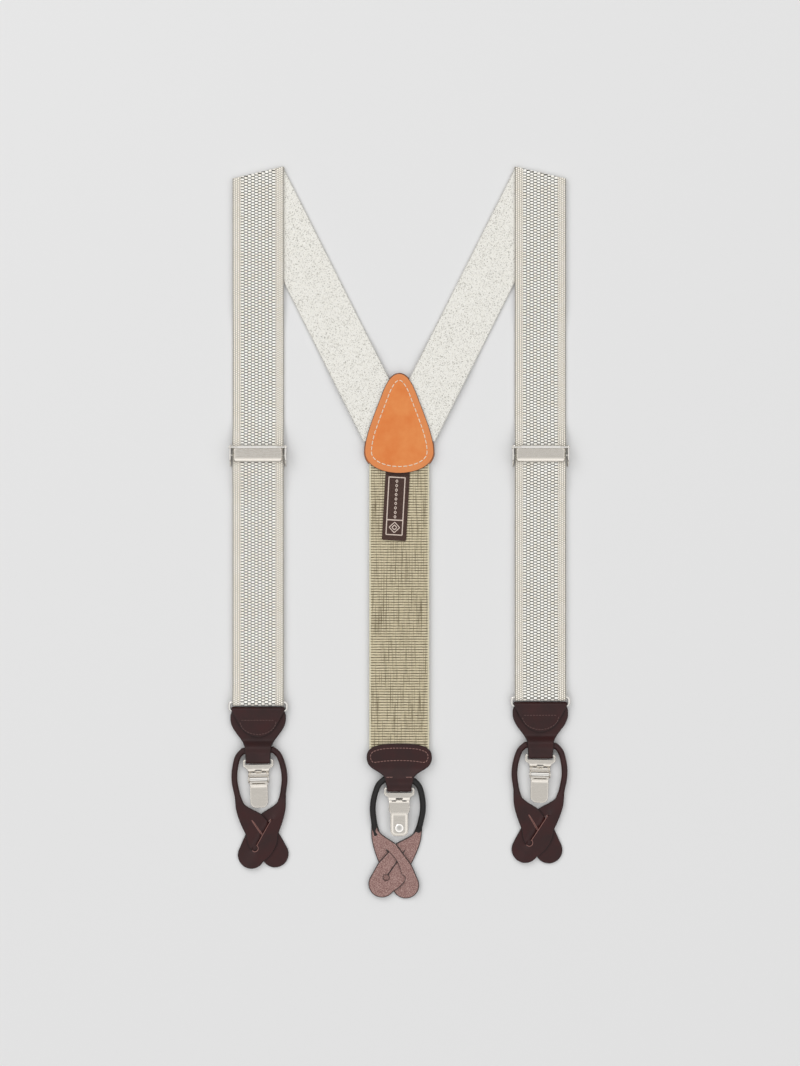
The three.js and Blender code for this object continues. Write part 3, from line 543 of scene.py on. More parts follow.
class Stuff(Enum):
    """Every material of the suspenders, as the finish that makes it."""

    # crisp ivory ovals with painted shade in the small gaps between them, matt with a faint silky sheen
    FACE = Honeycomb("jacquard_woven_webbing_face", "faf4e6", 0.85)
    # chalky off-white with a fine grey grain, quite matt
    REVERSE = PlainReverse("plain_woven_webbing_back", "f4f2ea", 0.9)
    # dry and corded: khaki ribs, broken dark lines and pale selvedges
    ELASTIC = RibbedElastic("rib_woven_khaki_elastic", "c9bb98", 0.9)
    # warm orange tan with soft clouds, a paler rim and a dark painted edge
    TAN = Leather("vegetable_tanned_leather_tan", "dc7a34", 0.5, "e28a46", "4a2418", "b06a40", rim_mm=4.0,
                  rim="d98850")
    # deep burgundy, nearly black, with a satin glaze and pink raw cuts
    GRAIN = Leather("glazed_cowhide_burgundy", "330b0a", 0.42, "270908", "160808", "a87a72", coat=0.0)
    # dusty pink-brown nap, without any shine
    FLESH = Suede("shaved_flesh_side_leather", "7d5a54", 1.0, "bf9f98", "231d1c")
    # black edge paint over rolled leather, with a dull shine
    ROLLED = Leather("edge_painted_rolled_leather", "110e0e", 0.45, "171313", "0c0a0a", "0c0a0a", coat=0.0)
    # bright warm metal with sharp highlights
    BRIGHT = Nickel("polished_nickel_plate", "e9e6e1", 0.1)
    # the same metal, softened by fine brush lines across it
    SATIN = Nickel("brushed_nickel_plate", "e3ddd4", 0.25, brush=(120.0, 5000.0, 900.0))
    # milky white, slightly see-through plastic
    PAD = Moulded("moulded_nylon", "e6e4dd", 0.45)
    # dark chocolate cloth with fine picks
    LABEL = Damask("woven_damask_label", "432c24", 0.8)
    # pale pinkish cream lines, raised above the label
    CREAM_YARN = Spun("cream_label_yarn", "e8d9cf", 0.7)
    # light cream stitches that stand out on the tan leather
    CREAM_THREAD = Spun("cream_sewing_thread", "ffecd2", 0.6)
    # muted rose stitches, barely lighter than the burgundy leather
    ROSE_THREAD = Spun("dark_rose_sewing_thread", "5f3c38", 0.6)
    # lighter rose-brown stitches round the rear end
    BROWN_THREAD = Spun("rose_brown_sewing_thread", "9a7069", 0.6)

    @property
    def material(self) -> bpy.types.Material:
        """The Blender material, made the first time that it is asked for."""
        return bpy.data.materials.get(self.value.name) or self.value.build()


# ---- Surfaces ----


@dataclass
class Surface:
    """A closed mesh in millimetres, with the places that its patterns need.

    Attributes:
        points: One row of x, y, z for each vertex.
        faces: Each face's vertex numbers.
        slots: Each face's material number.
        detail: One row for each vertex: across, along and side for cloth; distance to the edge and
            to a raw cut for leather.
    """

    points: np.ndarray
    faces: list[tuple[int, ...]]
    slots: list[int]
    detail: np.ndarray

    def moved(self, matrix: Matrix) -> Surface:
        """This surface in another place.

        Args:
            matrix: Where to, in millimetres.

        Returns:
            A new surface, whose faces are turned round if the matrix mirrors.
        """
        turn = np.array(matrix)
        faces = [f[::-1] for f in self.faces] if matrix.determinant() < 0 else self.faces
        return Surface(self.points @ turn[:3, :3].T + turn[:3, 3], faces, self.slots, self.detail)

    def __add__(self, other: Surface) -> Surface:
        """Both surfaces as one, still as separate shells.

        Args:
            other: The surface to join.

        Returns:
            A new surface.
        """
        start = len(self.points)
        return Surface(
            np.vstack((self.points, other.points)),
            self.faces + [tuple(i + start for i in f) for f in other.faces],
            self.slots + other.slots,
            np.vstack((self.detail, other.detail)),
        )

    def painted(self, slot: int) -> Surface:
        """This surface with one material number on every face."""
        return Surface(self.points, self.faces, [slot] * len(self.faces), self.detail)

    def cut(self, point: Sequence[float], normal: Sequence[float]) -> Surface:
        """This surface with what lies beyond a plane cut off, and the cut closed.

        Args:
            point: A point on the plane.
            normal: Points at the side that is cut off.

        Returns:
            The closed rest.
        """
        mesh = self.mesh("cutting")
        work = bmesh.new()
        work.from_mesh(mesh)
        everything = work.verts[:] + work.edges[:] + work.faces[:]
        done = bmesh.ops.bisect_plane(
            work, geom=everything, plane_co=Vector(point) * MM, plane_no=Vector(normal), clear_outer=True)
        rim = [e for e in done["geom_cut"] if isinstance(e, bmesh.types.BMEdge)]
        bmesh.ops.contextual_create(work, geom=rim)
        work.to_mesh(mesh)
        work.free()
        points = np.empty(len(mesh.vertices) * 3)
        mesh.vertices.foreach_get("co", points)
        detail = np.empty(len(mesh.vertices) * 3)
        mesh.attributes[DETAIL].data.foreach_get("vector", detail)
        faces = [tuple(p.vertices) for p in mesh.polygons]
        slots = [p.material_index for p in mesh.polygons]
        bpy.data.meshes.remove(mesh)
        return Surface(points.reshape(-1, 3) / MM, faces, slots, detail.reshape(-1, 3))

    def mesh(self, name: str) -> bpy.types.Mesh:
        """Makes the Blender mesh, in metres, with every face turned outwards.

        Args:
            name: The mesh's name.

        Returns:
            The mesh.
        """
        made = bpy.data.meshes.new(name)
        made.from_pydata((self.points * MM).tolist(), [], self.faces)
        made.polygons.foreach_set("material_index", self.slots)
        places = made.attributes.new(DETAIL, "FLOAT_VECTOR", "POINT")
        places.data.foreach_set("vector", self.detail.astype(np.float32).ravel())
        work = bmesh.new()
        work.from_mesh(made)
        bmesh.ops.recalc_face_normals(work, faces=work.faces)
        work.to_mesh(made)
        work.free()
        return made


def piece(
    name: str, surface: Surface, stuffs: Sequence[Stuff], sharp_deg: float = 40.0
) -> bpy.types.Object:
    """Makes one piece of the suspenders.

    Args:
        name: The piece's name.
        surface: Its shape.
        stuffs: Its materials, in the order of the surface's slots.
        sharp_deg: Edges that bend more than this stay sharp.

    Returns:
        The object, at the frame's origin and riding on nothing yet.
    """
    mesh = surface.mesh(name)
    for stuff in stuffs:
        mesh.materials.append(stuff.material)
    mesh.shade_smooth()
    mesh.set_sharp_from_angle(angle=math.radians(sharp_deg))
    made = bpy.data.objects.new(name, mesh)
    bpy.context.scene.collection.objects.link(made)
    log.info("%s: %d faces", name, len(surface.faces))
    return made


# ---- Paths ----


def trace(start: tuple, *legs: tuple, steps: int = 16) -> np.ndarray:
    """Follows straight and curved legs.

    Args:
        start: The first point.
        legs: Each is a point, or the two handles and the end of a curve.
        steps: How many pieces a curve gets.

    Returns:
        The path's points.
    """
    points = [np.array(start, float)]
    for leg in legs:
        if np.ndim(leg[0]) == 0:
            points.append(np.array(leg, float))
            continue
        from_, (first, second, end) = points[-1], np.array(leg, float)
        for t in np.linspace(0, 1, steps + 1)[1:]:
            s = 1 - t
            points.append(s**3 * from_ + 3 * s * s * t * first + 3 * s * t * t * second + t**3 * end)
    return np.array(points)


def mirrored(half: np.ndarray) -> np.ndarray:
    """Closes a right half, traced from the top down, with its mirror image."""
    back = half[::-1] * (-1, 1)
    return np.vstack((half, back[np.abs(back[:, 0]) > 1e-6]))


def arc(
    y: float, z: float, radius: float, start: float, end: float, steps: int = 12
) -> list[tuple[float, float]]:
    """Points along an arc, in the side view.

    Args:
        y: Centre.
        z: Centre.
        radius: Radius.
        start: First angle, in degrees.
        end: Last angle, in degrees.
        steps: How many pieces.

    Returns:
        The points.
    """
    angles = np.radians(np.linspace(start, end, steps + 1))
    return [(y + radius * math.cos(a), z + radius * math.sin(a)) for a in angles]


def lengths(path: np.ndarray) -> np.ndarray:
    """How far along a path each of its points is."""
    return np.concatenate(([0.0], np.cumsum(np.linalg.norm(np.diff(path, axis=0), axis=1))))


def resample(path: np.ndarray, step: float, closed: bool = False) -> np.ndarray:
    """Evenly spaced points along a path.

    Args:
        path: The path's points.
        step: About how far apart the points are.
        closed: Whether the path returns to its start. The start isn't repeated.

    Returns:
        The new points.
    """
    if closed:
        path = np.vstack((path, path[:1]))
    run = lengths(path)
    count = max(int(round(run[-1] / step)), 3)
    at = np.linspace(0, run[-1], count + 1)[: count if closed else count + 1]
    return np.column_stack([np.interp(at, run, path[:, i]) for i in range(path.shape[1])])


def soften(line: Sequence, reach: float, step: float) -> np.ndarray:
    """Rounds a line's corners and adds points to its long legs.

    Args:
        line: The corners.
        reach: How far from a corner the rounding starts.
        step: The longest leg that is left.

    Returns:
        The new line.
    """
    line = np.array(line, float)
    out = [line[0]]
    for before, at, after in zip(line, line[1:], line[2:]):
        into, away = before - at, after - at
        start = at + into * min(0.45, reach / max(np.linalg.norm(into), 1e-9))
        end = at + away * min(0.45, reach / max(np.linalg.norm(away), 1e-9))
        out += [(1 - t) ** 2 * start + 2 * t * (1 - t) * at + t * t * end for t in (0, 0.25, 0.5, 0.75, 1)]
    out.append(line[-1])
    filled = [out[0]]
    for a, b in zip(out, out[1:]):
        pieces = max(int(math.ceil(np.linalg.norm(b - a) / step)), 1)
        filled += [a + (b - a) * (i + 1) / pieces for i in range(pieces) if np.linalg.norm(b - a) > 1e-6]
    return np.array(filled)


def inward(loop: np.ndarray, distance: float) -> np.ndarray:
    """Moves a closed path's points towards its inside, whichever way round it runs.

    Args:
        loop: The path's points.
        distance: How far. A negative one moves them outwards.

    Returns:
        The moved points.
    """
    along = np.roll(loop, -1, axis=0) - np.roll(loop, 1, axis=0)
    along /= np.linalg.norm(along, axis=1, keepdims=True)
    x, y = loop[:, 0], loop[:, 1]
    turn = np.sign(np.sum(x * np.roll(y, -1) - np.roll(x, -1) * y))
    return loop + turn * distance * np.column_stack((-along[:, 1], along[:, 0]))


def inside(points: np.ndarray, loops: Sequence[np.ndarray]) -> np.ndarray:
    """Finds which points lie in an odd number of the loops.

    Args:
        points: The points to test.
        loops: Closed paths.

    Returns:
        A truth value for each point.
    """
    odd = np.zeros(len(points), bool)
    for loop in loops:
        nxt = np.roll(loop, -1, axis=0)
        for (x0, y0), (x1, y1) in zip(loop, nxt):
            if y0 == y1:
                continue
            between = (points[:, 1] > min(y0, y1)) & (points[:, 1] <= max(y0, y1))
            odd ^= between & (points[:, 0] < x0 + (points[:, 1] - y0) * (x1 - x0) / (y1 - y0))
    return odd


def gap(points: np.ndarray, loops: Sequence[np.ndarray]) -> np.ndarray:
    """Measures each point's distance to the nearest loop.

    Args:
        points: The points.
        loops: Closed paths.

    Returns:
        One distance for each point, and a very large one if there are no loops.
    """
    near = np.full(len(points), 1e9)
    for loop in loops:
        for a, b in zip(loop, np.roll(loop, -1, axis=0)):
            edge = b - a
            t = np.clip((points - a) @ edge / max(edge @ edge, 1e-12), 0, 1)
            near = np.minimum(near, np.linalg.norm(points - a - t[:, None] * edge, axis=1))
    return near


def smooth(value: np.ndarray | float) -> np.ndarray | float:
    """An even step from 0 to 1."""
    t = np.clip(value, 0.0, 1.0)
    return t * t * (3 - 2 * t)


def dome(distance: np.ndarray, thick: float, soft: float) -> np.ndarray:
    """How far a rounded sheet's face is from its middle, by the distance to its edge."""
    short = soft - np.minimum(distance, soft)
    return thick / 2 - soft + np.sqrt(np.maximum(soft * soft - short * short, 0.0))


# ---- Shapes ----


def plate(
    outline: np.ndarray,
    thick: float,
    mid: float | Callable[[np.ndarray, np.ndarray], np.ndarray] = 0.0,
    holes: Sequence[np.ndarray] = (),
    soft: float = 0.3,
    grid: float = 1.6,
    rings: Sequence[float] = (),
    press: Callable[[np.ndarray, np.ndarray], np.ndarray] | None = None,
    press_under: bool = False,
    slots: tuple[int, int, int] = (0, 0, 0),
) -> Surface:
    """A flat or bent sheet with rounded edges.

    Args:
        outline: Its outline, seen from above.
        thick: Its thickness.
        mid: The height of its middle, or a function of x and y that gives it.
        holes: Loops cut out of it. Their edges count as raw cuts.
        soft: The radius of its edges.
        grid: How far apart the points inside it are.
        rings: Distances from the edge at which points follow the outline.
        press: A function of the points and their distances to the edge that raises the top.
        press_under: Whether the underside is pressed instead.
        slots: Material numbers of the top, the underside and the edge.

    Returns:
        The closed surface.
    """
    loops = [resample(np.asarray(loop, float), 0.7 * grid, closed=True) for loop in (outline, *holes)]
    rim = np.vstack(loops)
    low, high = rim.min(axis=0), rim.max(axis=0)
    xs, ys = np.meshgrid(*(np.arange(low[i] + grid / 2, high[i], grid) for i in (0, 1)))
    spread = np.column_stack((xs.ravel(), ys.ravel()))
    spread = spread[inside(spread, loops)]
    clear = max((soft, *rings)) + 0.4 * grid
    groups = [rim, spread[gap(spread, loops) > clear]]
    for away in (0.15 * soft, 0.5 * soft, soft, *rings):
        for number, loop in enumerate(loops):
            ring = inward(loop, away if number == 0 else -away)
            ring = ring[inside(ring, loops)]
            groups.append(ring[gap(ring, loops) > 0.97 * away])
    edges, start = [], 0
    for loop in loops:
        edges += [(start + i, start + (i + 1) % len(loop)) for i in range(len(loop))]
        start += len(loop)
    seeds = [Vector(p) for p in np.vstack(groups)]
    found, _, triangles, *_ = delaunay_2d_cdt(seeds, edges, [], 0, 1e-5)
    flat = np.array([tuple(p) for p in found])
    centres = np.array([flat[list(t)].mean(axis=0) for t in triangles])
    kept = [tuple(t) for t, ok in zip(triangles, inside(centres, loops)) if ok]
    to_edge = gap(flat, loops[:1])
    to_cut = gap(flat, loops[1:])
    height = mid(flat[:, 0], flat[:, 1]) if callable(mid) else np.full(len(flat), float(mid))
    rise = dome(np.minimum(to_edge, to_cut), thick, soft)
    lift = press(flat, np.minimum(to_edge, to_cut)) if press else 0.0
    count = len(flat)
    top = np.column_stack((flat, height + rise + (0.0 if press_under else lift)))
    under = np.column_stack((flat, height - rise - (lift if press_under else 0.0)))
    uses: dict[tuple[int, int], int] = {}
    for a, b, c in kept:
        for edge in ((a, b), (b, c), (c, a)):
            key = (min(edge), max(edge))
            uses[key] = uses.get(key, 0) + 1
    walls = [(a, b, b + count, a + count) for (a, b), used in uses.items() if used == 1]
    faces = kept + [(c + count, b + count, a + count) for a, b, c in kept] + walls
    numbers = [slots[0]] * len(kept) + [slots[1]] * len(kept) + [slots[2]] * len(walls)
    side = np.column_stack((to_edge, to_cut, np.ones(count)))
    return Surface(np.vstack((top, under)), faces, numbers, np.vstack((side, side * (1, 1, -1))))


def shell(rows: int, wide: int, slots: tuple[int, int, int]) -> tuple[list[tuple[int, ...]], list[int]]:
    """Joins two grids of points, one behind the other, along their borders.

    Args:
        rows: How many rows of points each grid has.
        wide: How many points each row has.
        slots: Material numbers of the first grid, the second grid and the edge.

    Returns:
        The faces, and their material numbers.
    """
    count = rows * wide
    cells = [(r * wide + c, r * wide + c + 1, (r + 1) * wide + c + 1, (r + 1) * wide + c)
             for r in range(rows - 1) for c in range(wide - 1)]
    borders = [(r * wide + c, (r + 1) * wide + c) for r in range(rows - 1) for c in (0, wide - 1)]
    borders += [(r * wide + c, r * wide + c + 1) for r in (0, rows - 1) for c in range(wide - 1)]
    walls = [(a, b, b + count, a + count) for a, b in borders]
    faces = cells + [tuple(i + count for i in cell[::-1]) for cell in cells] + walls
    return faces, [slots[0]] * len(cells) + [slots[1]] * len(cells) + [slots[2]] * len(walls)


def strip(
    line: np.ndarray,
    half: float | np.ndarray,
    thick: float,
    soft: float = 0.3,
    columns: int = 8,
    cloth: bool = False,
    slots: tuple[int, int, int] = (0, 0, 0),
    ends: tuple[bool, bool] = (True, True),
) -> Surface:
    """A strip that follows a line in the side view.

    Args:
        line: The y and z of its middle. Its first material is on the left of the line's direction.
        half: Half its width, for the whole strip or for each point of the line.
        thick: Its thickness.
        soft: The radius of its edges.
        columns: How many columns of faces it has between its edges.
        cloth: Whether its pattern needs places across and along it instead of distances to its edge.
        slots: Material numbers of the left face, the right face and the edge.
        ends: Whether its first and last ends count as edges.

    Returns:
        The closed surface.
    """
    half = np.broadcast_to(np.asarray(half, float), len(line))
    run = lengths(line)
    along = np.gradient(line, run, axis=0)
    along /= np.linalg.norm(along, axis=1, keepdims=True)
    out = np.column_stack((-along[:, 1], along[:, 0]))
    near = soft * np.array([0.0, 0.12, 0.45, 1.0])
    flat = np.linspace(-1, 1, columns + 1)[1:-1]
    inner = np.maximum(half - soft, 0.0)
    left = -half[:, None] + np.minimum(near, half[:, None])
    across = np.hstack((left, inner[:, None] * flat, -left[:, ::-1]))
    to_edge = half[:, None] - np.abs(across)
    rise = dome(to_edge, thick, soft)
    top = np.stack((across, line[:, :1] + out[:, :1] * rise, line[:, 1:] + out[:, 1:] * rise), axis=2)
    under = np.stack((across, line[:, :1] - out[:, :1] * rise, line[:, 1:] - out[:, 1:] * rise), axis=2)
    faces, numbers = shell(*across.shape, slots)
    if cloth:
        down = np.broadcast_to(run[:, None], across.shape)
        detail = np.stack((across, down, np.ones_like(across)), axis=2)
    else:
        lean = np.cos(np.arctan(np.gradient(half, run)))[:, None]
        distance = to_edge * lean
        for is_edge, far in zip(ends, (run[:, None], run[-1] - run[:, None])):
            distance = np.minimum(distance, far) if is_edge else distance
        detail = np.stack((distance, np.full_like(distance, FAR), np.ones_like(distance)), axis=2)
    points = np.vstack((top.reshape(-1, 3), under.reshape(-1, 3)))
    flat_detail = detail.reshape(-1, 3)
    return Surface(points, faces, numbers, np.vstack((flat_detail, flat_detail * (1, 1, -1))))


def unmarked(count: int) -> np.ndarray:
    """Pattern places, far from any edge or cut, for so many points."""
    return np.tile((FAR, FAR, 1.0), (count, 1))


def tube(
    path: np.ndarray,
    radius: float,
    sides: int = 16,
    closed: bool = False,
    scale: np.ndarray | None = None,
    slot: int = 0,
) -> Surface:
    """A round bar along a path that runs roughly level.

    Args:
        path: Its middle.
        radius: Its radius.
        sides: How many faces go round it.
        closed: Whether it is a ring.
        scale: Its width and height at each point, as a share of the radius.
        slot: Its material number.

    Returns:
        The closed surface.
    """
    path = np.asarray(path, float)
    along = (np.roll(path, -1, axis=0) - np.roll(path, 1, axis=0)) if closed else np.gradient(path, axis=0)
    along /= np.maximum(np.linalg.norm(along, axis=1, keepdims=True), 1e-9)
    side = np.cross(along, (0, 0, 1.0))
    side /= np.maximum(np.linalg.norm(side, axis=1, keepdims=True), 1e-9)
    up = np.cross(side, along)
    scale = np.ones((len(path), 2)) if scale is None else scale
    angles = np.linspace(0, 2 * math.pi, sides, endpoint=False)
    points = (
        path[:, None]
        + radius * np.cos(angles)[None, :, None] * (side * scale[:, :1])[:, None]
        + radius * np.sin(angles)[None, :, None] * (up * scale[:, 1:])[:, None]
    ).reshape(-1, 3)
    rows = len(path)
    last = rows if closed else rows - 1
    faces = [(r * sides + c, r * sides + (c + 1) % sides,
              (r + 1) % rows * sides + (c + 1) % sides, (r + 1) % rows * sides + c)
             for r in range(last) for c in range(sides)]
    if not closed:
        faces += [tuple(range(sides))[::-1], tuple((rows - 1) * sides + i for i in range(sides))]
    return Surface(points, faces, [slot] * len(faces), unmarked(len(points)))


def lathe(profile: Sequence[tuple[float, float]], sides: int = 32, slot: int = 0) -> Surface:
    """Turns a profile round the vertical axis.

    Args:
        profile: Radii and heights, whose ends are on the axis.
        sides: How many faces go round it.
        slot: Its material number.

    Returns:
        The closed surface.
    """
    inner = profile[1:-1]
    angles = np.linspace(0, 2 * math.pi, sides, endpoint=False)
    points = [(r * math.cos(a), r * math.sin(a), z) for r, z in inner for a in angles]
    faces = [(r * sides + c, r * sides + (c + 1) % sides,
              (r + 1) * sides + (c + 1) % sides, (r + 1) * sides + c)
             for r in range(len(inner) - 1) for c in range(sides)]
    points += [(0, 0, profile[0][1]), (0, 0, profile[-1][1])]
    low, high = len(points) - 2, len(points) - 1
    faces += [(low, (c + 1) % sides, c) for c in range(sides)]
    top = (len(inner) - 1) * sides
    faces += [(high, top + c, top + (c + 1) % sides) for c in range(sides)]
    return Surface(np.array(points, float), faces, [slot] * len(faces), unmarked(len(points)))


def headed_pin(half: float, y: float, z: float, sides: int) -> Surface:
    """A pin that lies across the suspenders, with a low head at each end.

    Args:
        half: Half its length, with its heads.
        y: Along.
        z: Up.
        sides: How many faces go round it.

    Returns:
        The closed surface.
    """
    right = [(half - 0.41, 1.0), (half - 0.4, 1.6), (half - 0.15, 1.6), (half, 1.1)]
    both = [(-x, share) for x, share in right[::-1]] + right
    shares = np.array([(share, share) for _, share in both])
    return tube(np.array([(x, y, z) for x, _ in both]), 0.7, sides, scale=shares)


def stitches(
    path: np.ndarray, length: float = 2.6, space: float = 0.9, radius: float = 0.32, slot: int = 0
) -> Surface:
    """A row of lockstitches: each is a short thread that dips into the work at both ends.

    Args:
        path: Where the threads lie, on the work's surface.
        length: One stitch.
        space: Between two stitches.
        radius: The thread's radius.
        slot: Its material number.

    Returns:
        All the threads, as separate closed shells.
    """
    run = lengths(path)
    count = max(int(round(run[-1] / (length + space))), 1)
    pitch = run[-1] / count
    share = length / (length + space)
    all_threads = None
    for number in range(count):
        at = pitch * (number + share * np.array([0, 0.12, 0.35, 0.65, 0.88, 1.0]))
        middle = np.column_stack([np.interp(at, run, path[:, i]) for i in range(3)])
        middle[:, 2] += radius * np.array([-1.0, -0.2, 0.25, 0.25, -0.2, -1.0])
        size = np.array([0.5, 0.95, 1.0, 1.0, 0.95, 0.5])
        thread = tube(middle, radius, 6, scale=np.column_stack((size, size)), slot=slot)
        all_threads = thread if all_threads is None else all_threads + thread
    return all_threads


def place(x: float, y: float, z: float = 0.0, turn_deg: float = 0.0) -> Matrix:
    """A place on the floor plane.

    Args:
        x: Across.
        y: Along.
        z: Up.
        turn_deg: Turned anticlockwise, seen from above.

    Returns:
        The matrix, in millimetres.
    """
    return Matrix.Translation((x, y, z)) @ Matrix.Rotation(math.radians(turn_deg), 4, "Z")


UPSIDE_DOWN = Matrix.Rotation(math.pi, 4, "Y")
ON_ITS_SIDE = Matrix(((0, 0, 1, 0), (1, 0, 0, 0), (0, 1, 0, 0), (0, 0, 0, 1)))  # x, y, z become y, z, x


# ---- The suspenders' parts ----


@dataclass
class Part:
    """A sub-assembly. It keeps the objects that it makes."""

    pieces: list[bpy.types.Object] = field(default_factory=list)

    def fix(self, name: str, surface: Surface, stuffs: Sequence[Stuff], slot: str, body: str,
            *stands_for: str) -> bpy.types.Object:
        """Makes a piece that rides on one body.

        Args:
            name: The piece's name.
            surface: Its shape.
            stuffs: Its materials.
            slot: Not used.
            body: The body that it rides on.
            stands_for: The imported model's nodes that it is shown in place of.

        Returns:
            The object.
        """
        made = piece(name, surface, stuffs)
        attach(made, body)
        if stands_for:
            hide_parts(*stands_for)
        self.pieces.append(made)
        return made

    def bend(self, name: str, surface: Surface, stuffs: Sequence[Stuff], slot: str, bodies: tuple[str, str],
             start: Sequence[float], end: Sequence[float], *stands_for: str) -> bpy.types.Object:
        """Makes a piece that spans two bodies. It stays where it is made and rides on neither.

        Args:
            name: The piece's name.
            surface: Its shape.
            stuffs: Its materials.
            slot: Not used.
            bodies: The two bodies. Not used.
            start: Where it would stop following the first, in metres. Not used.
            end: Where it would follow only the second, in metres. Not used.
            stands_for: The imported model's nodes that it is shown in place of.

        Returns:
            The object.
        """
        made = piece(name, surface, stuffs)
        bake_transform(made)
        if stands_for:
            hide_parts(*stands_for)
        self.pieces.append(made)
        return made


@dataclass
class Yoke(Part):
    """Two leaves of tan leather, sewn round the ends of the three straps."""

    half: float = 24.2
    top: float = 34.9
    bottom: float = -34.5
    shoulder: float = 12.8
    inner_inset: float = 0.6
    seam: float = 4.6

    def outline(self, inset: float) -> np.ndarray:
        """The leaf's outline: a bell that is widest low down.

        Args:
            inset: How far inside the outer leaf's edge it runs.

        Returns:
            The closed outline.
        """
        half, neck = self.half - inset, self.shoulder - inset
        top, bottom = self.top - inset, self.bottom + inset
        widest = bottom + 0.216 * (top - bottom)
        neck_y = bottom + 0.78 * (top - bottom)
        return mirrored(trace(
            (0.0, top),
            ((0.5 * neck, top), (0.82 * neck, neck_y + 0.42 * (top - neck_y)), (neck, neck_y)),
            ((0.8 * half, neck_y - 0.45 * (neck_y - widest)), (half, widest + 0.25 * (neck_y - widest)),
             (half, widest)),
            ((half, widest - 0.66 * (widest - bottom)), (0.5 * half, bottom), (0.0, bottom)),
            steps=24))

    def build(self) -> None:
        """Makes both leaves and the seam."""
        groove = (self.seam - 0.7, self.seam, self.seam + 0.7)

        def press(_: np.ndarray, distance: np.ndarray) -> np.ndarray:
            """Sinks the seam's line and raises the padded middle a little."""
            seam = -0.22 * np.exp(-(((distance - self.seam) / 0.45) ** 2))
            return seam + 0.3 * smooth((distance - self.seam) / 9)

        upper = FACE_MID + WEB_THICK + LAYER_GAP
        edge = self.outline(self.inner_inset)
        inner = plate(edge, LEATHER_THICK, upper, soft=0.5, rings=groove, press=press)
        outer = plate(self.outline(0.0), LEATHER_THICK, RETURN_MID, soft=0.5)
        self.fix("yoke_inner_leaf", inner, [Stuff.TAN], "tan_leather", "root", "yoke_inner_leather")
        self.fix("yoke_outer_leaf", outer, [Stuff.TAN], "tan_leather", "root", "yoke_outer_leather")
        line = inward(resample(edge, 0.5, closed=True), self.seam)
        line = np.vstack((line, line[:1]))
        level = np.full((len(line), 1), upper + LEATHER_THICK / 2 - 0.08)
        threads = stitches(np.hstack((line, level)), 3.0, 0.75, 0.4)
        self.fix("yoke_seam", threads, [Stuff.CREAM_THREAD], "tan_leather", "root")


@dataclass
class Label(Part):
    """A woven label, sewn in under the yoke, with a border and a column of small lozenges."""

    at: tuple[float, float] = (-1.2, -35.4)
    turn: float = -3.1
    half: float = 8.3
    length: float = 44.5
    thick: float = 0.5
    z: float = 3.2

    def build(self) -> None:
        """Makes the label and its raised yarn."""
        spot = place(*self.at, self.z, self.turn)
        tip, half = -self.length, self.half
        flat = trace((half, 0.0), (half, tip + 0.5), (half - 0.5, tip),
                     (-half + 0.5, tip), (-half, tip + 0.5), (-half, 0.0))
        ground = plate(flat, self.thick, self.thick / 2, soft=0.2, grid=2.0)
        ground.detail = ground.points * (1, 1, 0) + (0, 0, 1)
        top = self.thick + 0.02
        left, right, high, low, bar = -half + 2.6, half - 3.0, -1.3, tip + 3.9, tip + 14.0

        def band(*corners: tuple[float, float], radius: float = 0.36, closed: bool = True) -> Surface:
            """One flat band of yarn.

            Args:
                corners: The corners that it goes through.
                radius: Half its width.
                closed: Whether it returns to its start.

            Returns:
                The band.
            """
            line = resample(np.array(corners), 0.5, closed=closed)
            line = np.column_stack((line, np.full(len(line), top)))
            return tube(line, radius, 8, closed=closed, scale=np.full((len(line), 2), (1.0, 0.35)))

        yarn = band((left, high), (right, high), (right, low), (left, low))
        yarn += band((left, bar), (right, bar), radius=0.4, closed=False)
        middle = (left + right) / 2
        for y in np.arange(high - 2.6, bar + 2.0, -3.05):
            corners = (middle, y + 1.0), (middle + 0.8, y), (middle, y - 1.0), (middle - 0.8, y)
            yarn += band(*corners, radius=0.25)
        centre = (bar + low) / 2
        for size in (3.6, 1.7):
            yarn += band((middle, centre + size), (middle + size, centre), (middle, centre - size),
                         (middle - size, centre), radius=0.3)
        self.fix("label_cloth", ground.moved(spot), [Stuff.LABEL], "woven_label", "label", "label")
        self.fix("label_yarn", yarn.moved(spot), [Stuff.CREAM_YARN], "woven_label", "label")
        # It lies below the lowest corner that the label reaches as it lifts, 0.18 mm under the hinge.
        under = trace((half, -0.6), (half, 2.6), (-half, 2.6), (-half, -0.6))
        tuck = plate(under, 0.08, -0.24, soft=0.03, grid=2.0)
        tuck.detail = tuck.points * (1, 1, 0) + (0, 0, 1)
        self.fix("label_tuck", tuck.moved(spot), [Stuff.LABEL], "woven_label", "root")


